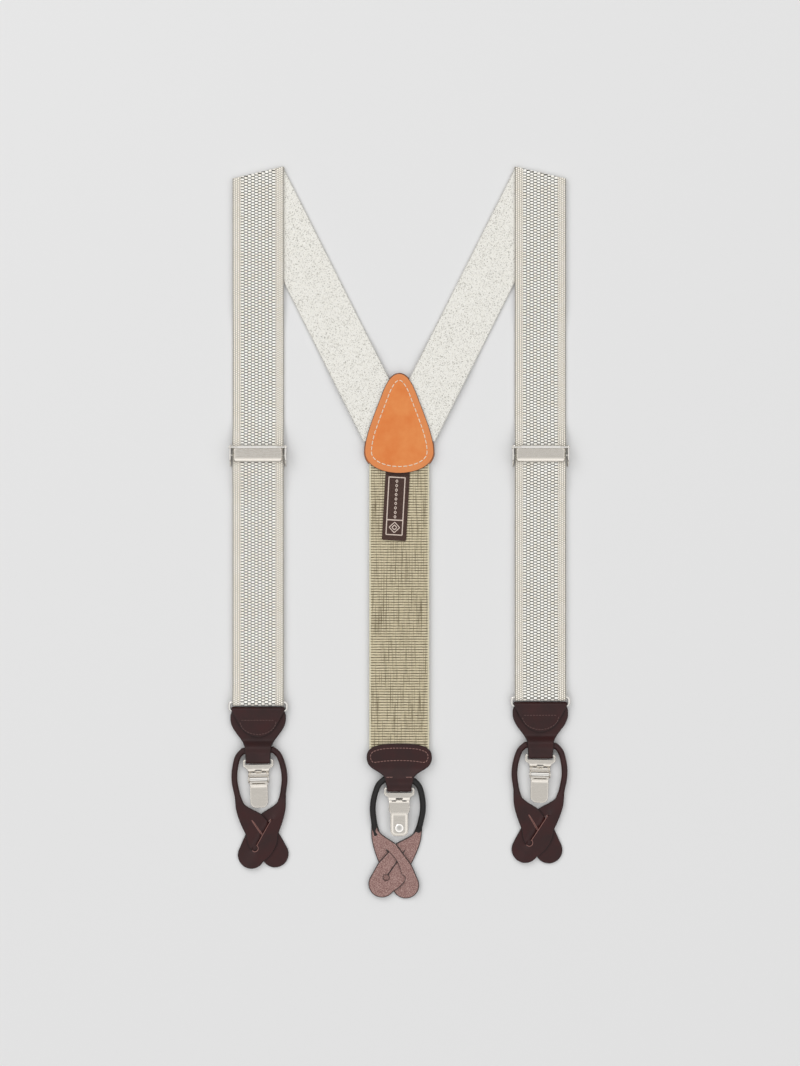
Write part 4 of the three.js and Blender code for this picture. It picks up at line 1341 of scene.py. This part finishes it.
@dataclass
class LongStrap(Part):
    """One strap of webbing: up the front, over at the shoulder fold and down to the yoke."""

    name: str = "left"
    side: int = -1
    ring_y: float = -190.4
    half: float = 17.5
    fold_deg: float = 13.301
    fold_gap: float = 0.154
    columns: int = 14

    def crease(self) -> tuple[np.ndarray, np.ndarray, np.ndarray]:
        """The fold's line, measured from the strap's own middle.

        Returns:
            A point on the line, its direction and the way out of the strap.
        """
        turn = math.radians(self.fold_deg)
        along = np.array((math.cos(turn), -self.side * math.sin(turn)))
        out = np.array((self.side * math.sin(turn), math.cos(turn)))
        return np.array((0.0, SHOULDER_Y - self.fold_gap)), along, out

    def front(self) -> Surface:
        """The length from the adjuster up to the fold, with its face up.

        Returns:
            The closed surface.
        """
        line = soften([(-20.35, CLAMP_MID), (-16.5, CLAMP_MID), (1.5, RETURN_MID), (64.5, RETURN_MID),
                       (82.5, FACE_MID), (SHOULDER_Y + 8, FACE_MID)], 4.0, 2.5)
        made = strip(line, self.half, WEB_THICK, WEB_SOFT, self.columns, cloth=True, slots=(0, 1, 0))
        at, _, out = self.crease()
        made.detail[:, 1] = made.points[:, 1]
        return made.cut((*at, 0), (*out, 0))

    def bend_round(self) -> Surface:
        """The fold itself: the webbing turns down and under.

        Returns:
            The closed surface.
        """
        at, along, out = self.crease()
        radius, middle = (FACE_MID - RETURN_MID) / 2, (FACE_MID + RETURN_MID) / 2
        near = WEB_SOFT * np.array([0.0, 0.12, 0.45, 1.0])
        wide = np.concatenate((-self.half + near, np.linspace(-17, 17, 15)[1:-1], (self.half - near)[::-1]))
        rise = dome(self.half - np.abs(wide), WEB_THICK, WEB_SOFT)
        angles = np.linspace(math.pi / 2, -math.pi / 2, 15)
        shells, details = [], []
        for way in (1, -1):
            for a in angles:
                run = (math.pi / 2 - a) * radius
                s = (wide - run * out[0]) / along[0]
                far = (radius + way * rise) * math.cos(a)
                flat = at + s[:, None] * along + far[:, None] * out
                shells.append(np.column_stack((flat, middle + (radius + way * rise) * math.sin(a))))
                length = at[1] + s * along[1] + run * out[1]
                details.append(np.column_stack((wide, length, np.full(len(wide), way))))
        faces, numbers = shell(len(angles), len(wide), (0, 1, 0))
        return Surface(np.vstack(shells), faces, numbers, np.vstack(details))

    def back(self) -> Surface:
        """The length from the fold down to the yoke, with its reverse up.

        Returns:
            The closed surface, in its final place.
        """
        line = soften([(35, RETURN_MID), (-124.9, RETURN_MID), (-148.9, FACE_MID), (-250, FACE_MID)],
                      4.0, 2.5)
        made = strip(line[::-1], self.half, WEB_THICK, WEB_SOFT, self.columns, cloth=True, slots=(0, 1, 0))
        made.slots = [1 - s if s < 2 else s for s in made.slots]
        made.detail[:, 1] = made.points[:, 1]
        turn = math.radians(self.fold_deg)
        made = made.cut((0, -self.fold_gap, 0), (-self.side * math.sin(turn), math.cos(turn), 0))
        spot = place(self.side * STRAP_X, SHOULDER_Y, 0, -2 * self.side * self.fold_deg)
        made = made.moved(spot)
        made = made.cut((self.side * 0.15, 0, 0), (-self.side, 0, 0))
        return made.cut((0, -11.9, 0), (0, -1, 0))

    def loop(self) -> Surface:
        """The length from the adjuster's bar round the wire ring and back up to the bar.

        Returns:
            The closed surface.
        """
        line = [(-37.5, FACE_MID), (-27.5, FACE_MID), *arc(-21.5, FACE_MID, 1.6, 90, -90),
                (-29.5, RETURN_MID), (self.ring_y + 9, RETURN_MID), *arc(self.ring_y, WIRE_Z, WRAP, 270, 90),
                (self.ring_y + 11, FACE_MID), (-46.5, FACE_MID), (-39.5, FLAP_MID), (-28.3, FLAP_MID),
                (-22.3, CLAMP_MID), (-20.65, CLAMP_MID)]
        line = soften(line, 2.5, 2.5)
        return strip(line, self.half, WEB_THICK, WEB_SOFT, self.columns, cloth=True, slots=(0, 1, 0))

    def build(self) -> None:
        """Makes the strap's four lengths."""
        spot = place(self.side * STRAP_X, 0)
        cloths = [Stuff.FACE, Stuff.REVERSE]
        x = self.side * STRAP_X * MM
        self.fix(self.name + "_strap_back", self.back(), cloths, "ivory_webbing", "root",
                 self.name + "_back_strap")
        fold_y = SHOULDER_Y * MM
        self.bend(self.name + "_strap_fold", self.bend_round().moved(spot), cloths, "ivory_webbing",
                  ("root", self.name + "_front"), (x, fold_y, RETURN_MID * MM), (x, fold_y, FACE_MID * MM))
        self.bend(self.name + "_strap_front", self.front().moved(spot), cloths, "ivory_webbing",
                  (self.name + "_front", self.name + "_adjuster"), (x, 0.103, 0.001), (x, -0.02, 0.001),
                  self.name + "_front_strap")
        self.bend(self.name + "_strap_lower", self.loop().moved(spot), cloths, "ivory_webbing",
                  (self.name + "_adjuster", self.name + "_strap_end"), (x, -0.035, 0.002), (x, -0.185, 0.002),
                  self.name + "_strap_loop")


@dataclass
class RearStrap(Part):
    """The elastic between the yoke and the rear end."""

    half: float = 20.5
    start: float = -12.2
    end: float = -229.5

    def build(self) -> None:
        """Makes the elastic."""
        line = soften([(self.start, FACE_MID), (self.end, FACE_MID)], 1.0, 2.0)
        made = strip(line, self.half, WEB_THICK, WEB_SOFT, 16, cloth=True)
        self.bend("rear_elastic", made, [Stuff.ELASTIC], "khaki_elastic", ("root", "rear_end"),
                  (0, -0.10, 0.002), (0, -0.21, 0.002), "rear_strap")


@dataclass
class Adjuster(Part):
    """A lever buckle: two cheeks joined by a bar and a plate, and a lever that clamps the strap."""

    name: str = "left"
    side: int = -1
    y: float = -20.5

    def build(self) -> None:
        """Makes the frame, the lever and the pin."""
        spot = place(self.side * STRAP_X, self.y)
        cheek_line = trace((6.05, 0.6), (6.05, 8.0), (5.05, 9.0), (-4.65, 9.0), (-9.05, 3.25), (-9.05, 0.6))
        cheek = plate(cheek_line, 1.2, 0.0, soft=0.5, grid=2.2).moved(ON_ITS_SIDE)
        frame_shape = cheek.moved(place(18.85, 0)) + cheek.moved(place(-18.85, 0))
        bar = np.array([(x, -1.0, 2.25) for x in np.linspace(-18.3, 18.3, 9)])
        frame_shape += tube(bar, 0.8, 16)
        cross = trace((18.3, 3.65), (18.3, 6.05), (-18.3, 6.05), (-18.3, 3.65))
        frame_shape += plate(cross, 1.0, 1.7, soft=0.3, grid=1.6)
        body = self.name + "_adjuster"
        self.fix(body + "_body", frame_shape.moved(spot), [Stuff.BRIGHT], "nickel_plate", body,
                 body + "_frame")

        half, tall = 16.3, 5.65
        hinge = 4.35, 7.7
        lever_line = mirrored(trace(
            (0.0, tall), (half - 2.6, tall), (half, tall - 1.95), (half, -tall), (0.0, -tall)))

        def roll(_: np.ndarray, y: np.ndarray) -> np.ndarray:
            """Turns the lower lip down."""
            return 6.9 - 1.1 * smooth((-y - 3.6) / 2.2)

        lever = plate(lever_line, 1.0, roll, soft=0.45, grid=1.4)
        knuckle = np.array([(x, *hinge) for x in np.linspace(-13.2, 13.2, 9)])
        lever = lever + tube(knuckle, 1.3, 20).painted(1)
        self.fix(body + "_flap", lever.moved(spot), [Stuff.SATIN, Stuff.BRIGHT], "nickel_plate",
                 self.name + "_adjuster_lever", body + "_lever")
        pin = headed_pin(19.9, *hinge, 20)
        self.fix(body + "_hinge", pin.moved(spot), [Stuff.BRIGHT], "nickel_plate", body, body + "_pin")


@dataclass
class WireRing(Part):
    """The bent wire ring between a strap's lower end and its leather."""

    name: str = "left"
    side: int = -1
    y: float = -190.4
    z: float = WIRE_Z
    half: float = 19.6
    depth: float = RING_DROP
    corner: float = 1.8

    def build(self) -> None:
        """Makes the ring."""
        h, d, r = self.half, self.depth, self.corner
        k = 0.45 * r
        loop = mirrored(trace(
            (0.0, 0.0), (h - r, 0.0), ((h - k, 0.0), (h, -k), (h, -r)), (h, -d + r),
            ((h, -d + k), (h - k, -d), (h - r, -d)), (0.0, -d), steps=6))
        loop = resample(loop, 0.7, closed=True)
        made = tube(np.column_stack((loop, np.zeros(len(loop)))), 1.0, 18, closed=True)
        self.fix(self.name + "_ring_wire", made.moved(place(self.side * STRAP_X, self.y, self.z)),
                 [Stuff.BRIGHT], "nickel_plate", self.name + "_wire_ring", self.name + "_wire_ring")


def neck(cord: float, bar: float, back: float) -> list[tuple[float, float]]:
    """The line of a leather end's neck: over the cord, round the clip's bar and back underneath.

    Args:
        cord: The cord's y.
        bar: The bar's y.
        back: Where the strip ends under the body.

    Returns:
        The line's points, y and z.
    """
    return [(cord + 7.05, FACE_MID), (cord + 2.65, NECK_MID), (cord + 1.35, BULGE_MID),
            (cord - 1.35, BULGE_MID), (cord - 2.95, NECK_MID), *arc(bar, CLIP_BAR_Z, 1.65, 90, 270, 10),
            (bar + 3, RETURN_MID), (back, RETURN_MID)]


@dataclass
class FrontEnd(Part):
    """A front leather end: one strip whose flap is folded over the wire ring and sewn down."""

    name: str = "left"
    side: int = -1
    y: float = -196.0

    def build(self) -> None:
        """Makes the strip and the seam on its flap."""
        flap_edge = trace((18.3, 0.3), ((14.64, -6.14), (10.98, -18.05), (0.0, -18.05)), steps=40)[::-1]
        tip = [(y, FLAP_MID) for y in (-18.05, -17.95, -17.7, -17.2, -16.3, -15, -12)]
        line = soften([*tip, (-7, FLAP_MID), *arc(0, WIRE_Z, WRAP, 88, -90, 14), (-7, FACE_MID),
                       *neck(-CORD_DROP, -BAR_DROP, -9.55)], 1.6, 1.1)
        turn = int(np.argmax(line[:, 0] > 1.75))  # the strip's foremost point, over the ring
        bar = int(np.argmin(line[:, 0]))
        neck_half = 8.4
        body_edge = trace(
            (18.3, 2.0), (18.3, -1.6), (19.0, -3.2), (19.0, -6.85),
            ((18.0, -14.55), (11.1, -18.55), (9.1, -24.75)), (neck_half, -32.85), (neck_half, -40.0))[::-1]
        on_flap = np.interp(line[:, 0], flap_edge[:, 1], flap_edge[:, 0])
        on_body = np.interp(line[:, 0], body_edge[:, 1], body_edge[:, 0])
        half = np.where(np.arange(len(line)) < turn, on_flap, on_body)
        half = np.where(np.arange(len(line)) > bar, np.minimum(on_body, neck_half), half)
        half = np.maximum(half, 0.6)
        spot = place(self.side * STRAP_X, self.y)
        made = strip(line, half, LEATHER_THICK, 0.5, 14)
        body = self.name + "_leather_end"
        self.fix(body + "_strip", made.moved(spot), [Stuff.GRAIN], "dark_leather", body, body)
        arch = trace((12.3, -7.6), ((12.0, -12.3), (7.5, -15.9), (0.0, -16.4)), steps=14)
        arch = np.vstack((arch, arch[::-1][1:] * (-1, 1)))
        top = np.array([(-11.3, -6.6), (11.3, -6.6)])
        rows = [np.column_stack((p, np.full(len(p), SEAM_Z))) for p in (arch, top)]
        threads = stitches(rows[0], 1.5, 0.6, 0.26) + stitches(rows[1], 1.5, 0.6, 0.26)
        self.fix(body + "_seam", threads.moved(spot), [Stuff.ROSE_THREAD], "dark_leather", body)


@dataclass
class RearEnd(Part):
    """The rear leather end: two leaves over the elastic, sewn in an oval, and a neck round the bar."""

    y: float = -218.5
    half: float = 22.3

    def build(self) -> None:
        """Makes the leather, the oval seam and the two bar tacks."""
        h, w = self.half, -9.3
        edge = trace(
            (0.0, 0.0), ((0.4 * h, 0.0), (0.76 * h, -0.8), (0.9 * h, 0.42 * w)),
            ((1.03 * h, 0.7 * w), (1.03 * h, 1.25 * w), (0.93 * h, 1.6 * w)),
            ((0.82 * h, 1.95 * w), (13.1, -19.2), (10.3, -22.6)), (8.4, -29.6), (8.4, -40.0), steps=30)[::-1]
        crest = (0.0, -0.03, -0.12, -0.3, -0.6, -1.2, -2.2)
        line = soften([*[(y, FLAP_MID) for y in crest], (-16.75, FLAP_MID), *neck(-25.3, -30.8, -2.2)[1:],
                       *[(y, RETURN_MID) for y in crest[-2::-1]]], 1.4, 1.1)
        half = np.maximum(np.interp(line[:, 0], edge[:, 1], edge[:, 0]), 0.8)
        spot = place(0, self.y)
        made = strip(line[::-1], half[::-1], LEATHER_THICK, 0.5, 14)
        self.fix("rear_leather_end_strip", made.moved(spot), [Stuff.GRAIN], "dark_leather", "rear_end",
                 "rear_leather_end")
        oval = mirrored(trace(
            (0.0, -3.1), ((10, -3.1), (15, -3.9), (18.3, -5.9)), ((20.5, -8.0), (19.8, -11), (18.2, -12.6)),
            (16.2, -12.9), ((10, -11.8), (6, -11.6), (0.0, -11.6))))
        oval = np.vstack((oval, oval[:1]))
        oval = np.column_stack((oval, np.full(len(oval), SEAM_Z)))
        threads = stitches(oval, 1.7, 0.5, 0.27)
        for side in (-1, 1):
            tack = np.array([(side * x, -22.8, NECK_MID + 0.95) for x in (4.6, 8.9)])
            threads += stitches(resample(tack, 0.5), 1.9, 0.2, 0.3)
        self.fix("rear_leather_end_seam", threads.moved(spot), [Stuff.BROWN_THREAD], "dark_leather",
                 "rear_end")


def through(points: Sequence[Sequence[float]], steps: int = 8) -> np.ndarray:
    """Draws a smooth path through points.

    Args:
        points: Where it goes through.
        steps: How many pieces lie between two of them.

    Returns:
        The path's points.
    """
    p = np.array(points, float)
    p = np.vstack((2 * p[0] - p[1], p, 2 * p[-1] - p[-2]))
    out = []
    for i in range(1, len(p) - 2):
        for t in np.linspace(0, 1, steps, endpoint=False):
            out.append(0.5 * (2 * p[i] + (p[i + 1] - p[i - 1]) * t
                              + (2 * p[i - 1] - 5 * p[i] + 4 * p[i + 1] - p[i + 2]) * t * t
                              + (3 * p[i] - p[i - 1] - 3 * p[i + 1] + p[i + 2]) * t**3))
    out.append(p[-2])
    return np.array(out)


@dataclass
class ButtonLoop(Part):
    """A rolled leather cord whose flat ends cross, one through the other's slit, and hold the buttons."""

    name: str = "left"
    at: tuple[float, float] = (-STRAP_X, -223.35)
    tilt: float = 2.7
    reversed: bool = False
    keyhole: tuple[float, float] = (-5.5, -66.8)
    slit: float = 22.6
    lean_deg: float = 32.0
    hole_radius: float = 2.2

    def route(self) -> tuple[np.ndarray, np.ndarray]:
        """The cord's middle and how it flattens into the tabs at its ends.

        Returns:
            The path, and its width and height at each point as a share of the cord's radius.
        """
        low = FACE_MID - CORD_Z
        half = [(0.0, 0.0, 0.0), (7.1, 0.0, 0.0), (9.1, 0.0, 0.0), (10.4, 0.0, 0.0),
                (14.19, -4.2, 0.35 * low), (16.59, -12.6, low), (17.1, -20.5, low), (16.0, -28.0, low)]
        between = (RETURN_MID + FACE_MID) / 2
        ends = {-1: between, 1: RETURN_MID} if self.reversed else {-1: FACE_MID, 1: between}
        left, right = ([(side * x, y, share * (ends[side] - CORD_Z) + (1 - share) * low)
                        for x, y, share in ((15.1, -32.4, 0.6), (14.1, -35.5, 1.0), (13.0, -38.4, 1.0))]
                       for side in (-1, 1))
        mirror = [(-x, y, z) for x, y, z in half[::-1][:-1]]
        path = through(left[::-1] + mirror + half + right)
        fall = smooth((-path[:, 1] - 28.0) / 8.0)
        size = np.column_stack((1.0 + 0.1 * fall, 1.0 - 0.72 * fall))
        return path, size

    def axes(self) -> tuple[np.ndarray, np.ndarray]:
        """The slit's own directions.

        Returns:
            Along it, away from the keyhole, and across it.
        """
        lean = math.radians(self.lean_deg)
        return np.array((math.sin(lean), math.cos(lean))), np.array((math.cos(lean), -math.sin(lean)))

    def over_slit(self, points: np.ndarray) -> tuple[np.ndarray, np.ndarray]:
        """Measures points from the slit's line.

        Args:
            points: Their x and y.

        Returns:
            How far each is beyond the line, and how far along it from the keyhole.
        """
        along, across = self.axes()
        away = points - self.keyhole
        return away @ across, away @ along

    def tab(self) -> np.ndarray:
        """The outline of the tab that hangs from the right end of the cord.

        Returns:
            The closed outline.
        """
        lobe = np.array(arc(-8.1, -71.4, 9.3, -32, -206, 28))
        blend = trace((17.6, -29.5), (17.3, -36.0), ((17.3, -43.0), (14.0, -51.0), (10.6, -58.5)))
        bulge = trace((10.6, -58.5), ((11.2, -63.4), (7.4, -71.8), (-0.2, -76.3)), steps=10)[1:-1]
        rest = trace(
            (-11.5, -57.3), (-0.3, -43.8), ((4.0, -40.6), (9.4, -39.0), (12.6, -34.8)), (14.0, -29.0))
        return np.vstack((blend, bulge, lobe, rest))

    def opening(self, spread: float) -> np.ndarray:
        """The keyhole and its slit as one loop.

        Args:
            spread: How far the slit is pulled open in its middle.

        Returns:
            The loop.
        """
        along, across = self.axes()
        centre = np.array(self.keyhole)
        cut = 0.12  # half the slit's own width
        share = np.linspace(0, 1, 14)
        right = [centre + along * (self.slit * s) + across * cut * (1 - s) for s in share[1:]]
        left = [centre + along * (self.slit * s) - across * (cut + spread * math.sin(math.pi * s))
                for s in share[::-1][1:-1]]
        ring = [centre + self.hole_radius * (math.cos(a) * along + math.sin(a) * across)
                for a in np.linspace(-0.16, -2 * math.pi + 0.16, 22)]
        return np.array(right + left + ring)

    def build(self) -> None:
        """Makes the cord and both tabs."""
        spot = place(*self.at, 0, self.tilt)
        path, size = self.route()
        cord = tube(path + (0, 0, CORD_Z), CORD_RADIUS, 24, scale=size, slot=2)

        def right_mid(x: np.ndarray, y: np.ndarray) -> np.ndarray:
            """The right tab lies low on the slit's upper left and high on its lower right.

            Args:
                x: Across.
                y: Along.

            Returns:
                The height of the tab's middle.
            """
            beyond, along = self.over_slit(np.column_stack((x, y)))
            off_end = np.maximum(np.maximum(along - self.slit, -along), 0.0)
            width = 0.25 + 5.5 * smooth(off_end / 6.0)
            return RETURN_MID + (FACE_MID - RETURN_MID) * smooth((beyond + width) / (2 * width))

        def left_mid(x: np.ndarray, y: np.ndarray) -> np.ndarray:
            """The left tab comes over the right one, drops through its slit and goes on beneath it."""
            beyond, _ = self.over_slit(np.column_stack((x, y)))
            return FACE_MID - 1.55 * smooth((beyond + 2.8) / 2.8)

        sheet = {"soft": 0.45, "grid": 1.25, "rings": (1.1,), "slots": (0, 1, 0)}
        flip = (-1, 1)
        right = plate(self.tab(), LEATHER_THICK, right_mid, [self.opening(2.4)], **sheet)
        left = plate(self.tab() * flip, LEATHER_THICK, left_mid, [self.opening(0.1) * flip], **sheet)
        tabs = right + left
        if self.reversed:
            tabs = tabs.moved(Matrix.Translation((0, 0, RETURN_MID + FACE_MID)) @ UPSIDE_DOWN)
        stuffs = [Stuff.GRAIN, Stuff.FLESH, Stuff.ROLLED if self.reversed else Stuff.GRAIN]
        body = self.name + "_button_loop"
        self.fix(body + "_leather", (cord + tabs).moved(spot), stuffs, "dark_leather", body, body)


@dataclass
class Clip(Part):
    """A drop-in clip: a collar with its bar, a waist with ears, a jaw and a lever that closes on it."""

    name: str = "left"
    at: tuple[float, float] = (-STRAP_X, -230.05)
    tilt: float = 1.5
    shows_back: bool = False
    hinge: tuple[float, float] = (-12.8, 0.9)  # the lever's pin: y and z from the bar

    def sheet_mid(self, _: np.ndarray, y: np.ndarray) -> np.ndarray:
        """The sheet steps down from the bar to the jaw."""
        return -1.8 * smooth((-y - 6.0) / 3.8)

    def body(self) -> Surface:
        """The pressed sheet, with its window, slots and ears.

        Returns:
            The closed surface.
        """
        outline = mirrored(trace(
            (0.0, 0.6), (9.8, 0.6), (10.4, 0.0), (10.4, -4.2), (7.7, -5.9), (7.1, -8.55), (7.1, -15.45),
            (6.1, -16.45), (6.1, -28.6), ((6.1, -30.7), (4.4, -32.4), (2.3, -32.4)), (0.0, -32.4)))
        window = mirrored(trace(
            (0.0, -0.6), (8.5, -0.6), (8.9, -1.0), (8.9, -2.6), (8.5, -3.0), (0.0, -3.0)))
        holes = [window]
        for x, y, wide in ((0.0, -6.9, 2.3), (-3.6, -8.3, 1.5), (3.6, -8.3, 1.5)):
            holes.append(mirrored(np.array([(0, 0.32), (wide, 0.32), (wide, -0.32), (0, -0.32)])) + (x, y))

        def press(points: np.ndarray, distance: np.ndarray) -> np.ndarray:
            """Leaves a raised border round the jaw plate."""
            below = smooth((-points[:, 1] - 17.0) / 1.0)
            return -0.35 * below * smooth((distance - 1.1) / 0.5)

        sheet = plate(outline, 1.0, self.sheet_mid, holes, soft=0.35, grid=0.9, rings=(1.1, 1.6), press=press,
                      press_under=True)
        ear_line = trace(
            (-15.45, -2.3), (-15.45, 1.6), (-14.2, 2.6), (-11.4, 2.6), (-10.15, 1.6), (-10.15, -2.3))
        ear = plate(ear_line, 0.8, 0.0, soft=0.3, grid=1.0).moved(ON_ITS_SIDE)
        return sheet + ear.moved(place(6.7, 0)) + ear.moved(place(-6.7, 0))

    def lever(self) -> Surface:
        """The lever plate with its knuckle and a slotted bridge.

        Returns:
            The closed surface.
        """
        outline = mirrored(trace(
            (0.0, -12.9), (6.0, -12.9), (6.0, -28.6), ((6.0, -30.6), (4.3, -32.4), (2.2, -32.4)),
            (0.0, -32.4)))
        slot = mirrored(np.array([(0, -15.5), (4.2, -15.5), (4.6, -15.8), (4.2, -16.1), (0, -16.1)]))

        def lift(_: np.ndarray, y: np.ndarray) -> np.ndarray:
            """Steps down from the bridge to the flat plate."""
            return 1.35 - 0.7 * smooth((-y - 16.8) / 1.2)

        made = plate(outline, 1.0, lift, [slot], soft=0.4, grid=0.9, rings=(1.0,)).painted(0)
        knuckle = np.array([(x, *self.hinge) for x in np.linspace(-6.0, 6.0, 7)])
        return made + tube(knuckle, 1.7, 24).painted(1)

    def build(self) -> None:
        """Makes the clip's five pieces."""
        spot = place(*self.at, CLIP_BAR_Z, self.tilt)
        if self.shows_back:
            spot = spot @ UPSIDE_DOWN
        body = self.name + "_clip"
        metal = [Stuff.SATIN, Stuff.BRIGHT]
        self.fix(body + "_sheet", self.body().moved(spot), metal, "nickel_plate", body, body + "_body")
        self.fix(body + "_flap", self.lever().moved(spot), metal, "nickel_plate", body + "_lever",
                 body + "_lever")
        pin = headed_pin(7.5, *self.hinge, 16)
        self.fix(body + "_hinge", pin.moved(spot), [Stuff.BRIGHT], "nickel_plate", body, body + "_pin")
        pad_line = mirrored(trace(
            (0.0, -19.2), (5.4, -19.2), (5.4, -28.3), ((5.4, -30.2), (3.8, -31.7), (2.0, -31.7)),
            (0.0, -31.7)))
        pad = plate(pad_line, 1.1, -0.7, soft=0.3, grid=1.4)
        self.fix(body + "_jaw_pad", pad.moved(spot), [Stuff.PAD], "clip_pad_nylon", body, body + "_pad")
        head = lathe([(0, -2.95), (0.9, -2.93), (1.9, -2.82), (2.6, -2.62), (3.0, -2.35),
                      (1.2, -2.35), (1.2, -0.35), (0, -0.35)], 32).moved(place(0, -27.0))
        self.fix(body + "_jaw_rivet", head.moved(spot), [Stuff.BRIGHT], "nickel_plate", body, body + "_rivet")


# ---- The studio ----


@dataclass
class Studio:
    """A plain pale floor, a large soft light high to one side, a graded sky and the camera above the
    suspenders.
    """

    centre: tuple[float, float] = (0.5, -74.7)
    height: float = 1723.6
    floor_colour: str = "e3e3e3"
    floor_half: float = 6000.0
    floor_drop: float = 0.3  # so that nothing touches it
    sky: tuple[float, ...] = (0.08, 0.08, 0.7, 1.1, 0.8, 0.46)  # from the horizon to overhead
    sky_strength: float = 1.26

    def build(self) -> None:
        """Makes the floor, the light, the camera and the sky."""
        scene = bpy.context.scene
        scene.view_settings.view_transform = "Standard"
        half = self.floor_half * MM
        mesh = bpy.data.meshes.new("studio_floor")
        corners = [(-half, -half, 0), (half, -half, 0), (half, half, 0), (-half, half, 0)]
        mesh.from_pydata(corners, [], [(0, 1, 2, 3)])
        floor = bpy.data.objects.new("studio_floor", mesh)
        floor.location.z = -self.floor_drop * MM
        scene.collection.objects.link(floor)
        mesh.materials.append(Finish("matt_paper_backdrop", self.floor_colour, 1.0).build())
        self.light("side_softbox", (-1.3, 1.5, 1.5), 1.2, 8.0)
        world = bpy.data.worlds.new("studio_sky")
        scene.world = world
        world.use_nodes = True
        tree = world.node_tree
        coords = add(tree, "TexCoord")
        split = add(tree, "SeparateXYZ", inputs={0: coords.outputs["Generated"]})
        ramp = add(tree, "ValToRGB", inputs={0: split.outputs[2]})
        ramp.color_ramp.elements.remove(ramp.color_ramp.elements[1])
        for at, level in zip((0.0, 0.3, 0.45, 0.7, 0.9, 1.0), self.sky):
            stop = ramp.color_ramp.elements[0] if at == 0.0 else ramp.color_ramp.elements.new(at)
            stop.color = (level, level, level, 1.0)
        sky = tree.nodes["Background"]
        tree.links.new(ramp.outputs["Color"], sky.inputs["Color"])
        sky.inputs["Strength"].default_value = self.sky_strength
        data = bpy.data.cameras.new("camera")
        data.lens = 85
        data.clip_end = 20
        camera = bpy.data.objects.new("camera", data)
        camera.location = (self.centre[0] * MM, self.centre[1] * MM, self.height * MM)
        scene.collection.objects.link(camera)
        scene.camera = camera

    def light(self, name: str, at: tuple[float, float, float], size: float, watts: float) -> None:
        """Hangs one square softbox that points at the suspenders.

        Args:
            name: Its name.
            at: Where it is, in metres.
            size: Its side, in metres.
            watts: Its power.
        """
        data = bpy.data.lights.new(name, "AREA")
        data.shape = "SQUARE"
        data.size = size
        data.energy = watts
        lamp = bpy.data.objects.new(name, data)
        lamp.location = at
        aim = Vector((self.centre[0] * MM, self.centre[1] * MM, 0)) - Vector(at)
        lamp.rotation_euler = aim.to_track_quat("-Z", "Y").to_euler()
        bpy.context.scene.collection.objects.link(lamp)


def main() -> None:
    """Builds the suspenders and the studio."""
    parts = [
        Yoke(),
        Label(),
        RearStrap(),
        RearEnd(),
        ButtonLoop(name="rear", at=(0.0, -243.8), tilt=-3.0, reversed=True),
        Clip(name="rear", at=(0.0, -249.3), tilt=0.0, shows_back=True),
    ]
    for name, side, ring_y in (("left", -1, -190.4), ("right", 1, -187.0)):
        end_y = ring_y - RING_DROP
        parts += [
            LongStrap(name=name, side=side, ring_y=ring_y),
            Adjuster(name=name, side=side),
            WireRing(name=name, side=side, y=ring_y),
            FrontEnd(name=name, side=side, y=end_y),
            ButtonLoop(name=name, at=(side * STRAP_X, end_y - CORD_DROP), tilt=2.7 if side < 0 else -1.8),
            Clip(name=name, at=(side * STRAP_X, end_y - BAR_DROP), tilt=-1.5 * side),
        ]
    for part in parts:
        part.build()
    Studio().build()
    log.info("%d pieces", sum(len(part.pieces) for part in parts))


if __name__ == "__main__":
    logging.basicConfig(level=logging.INFO)
    main()
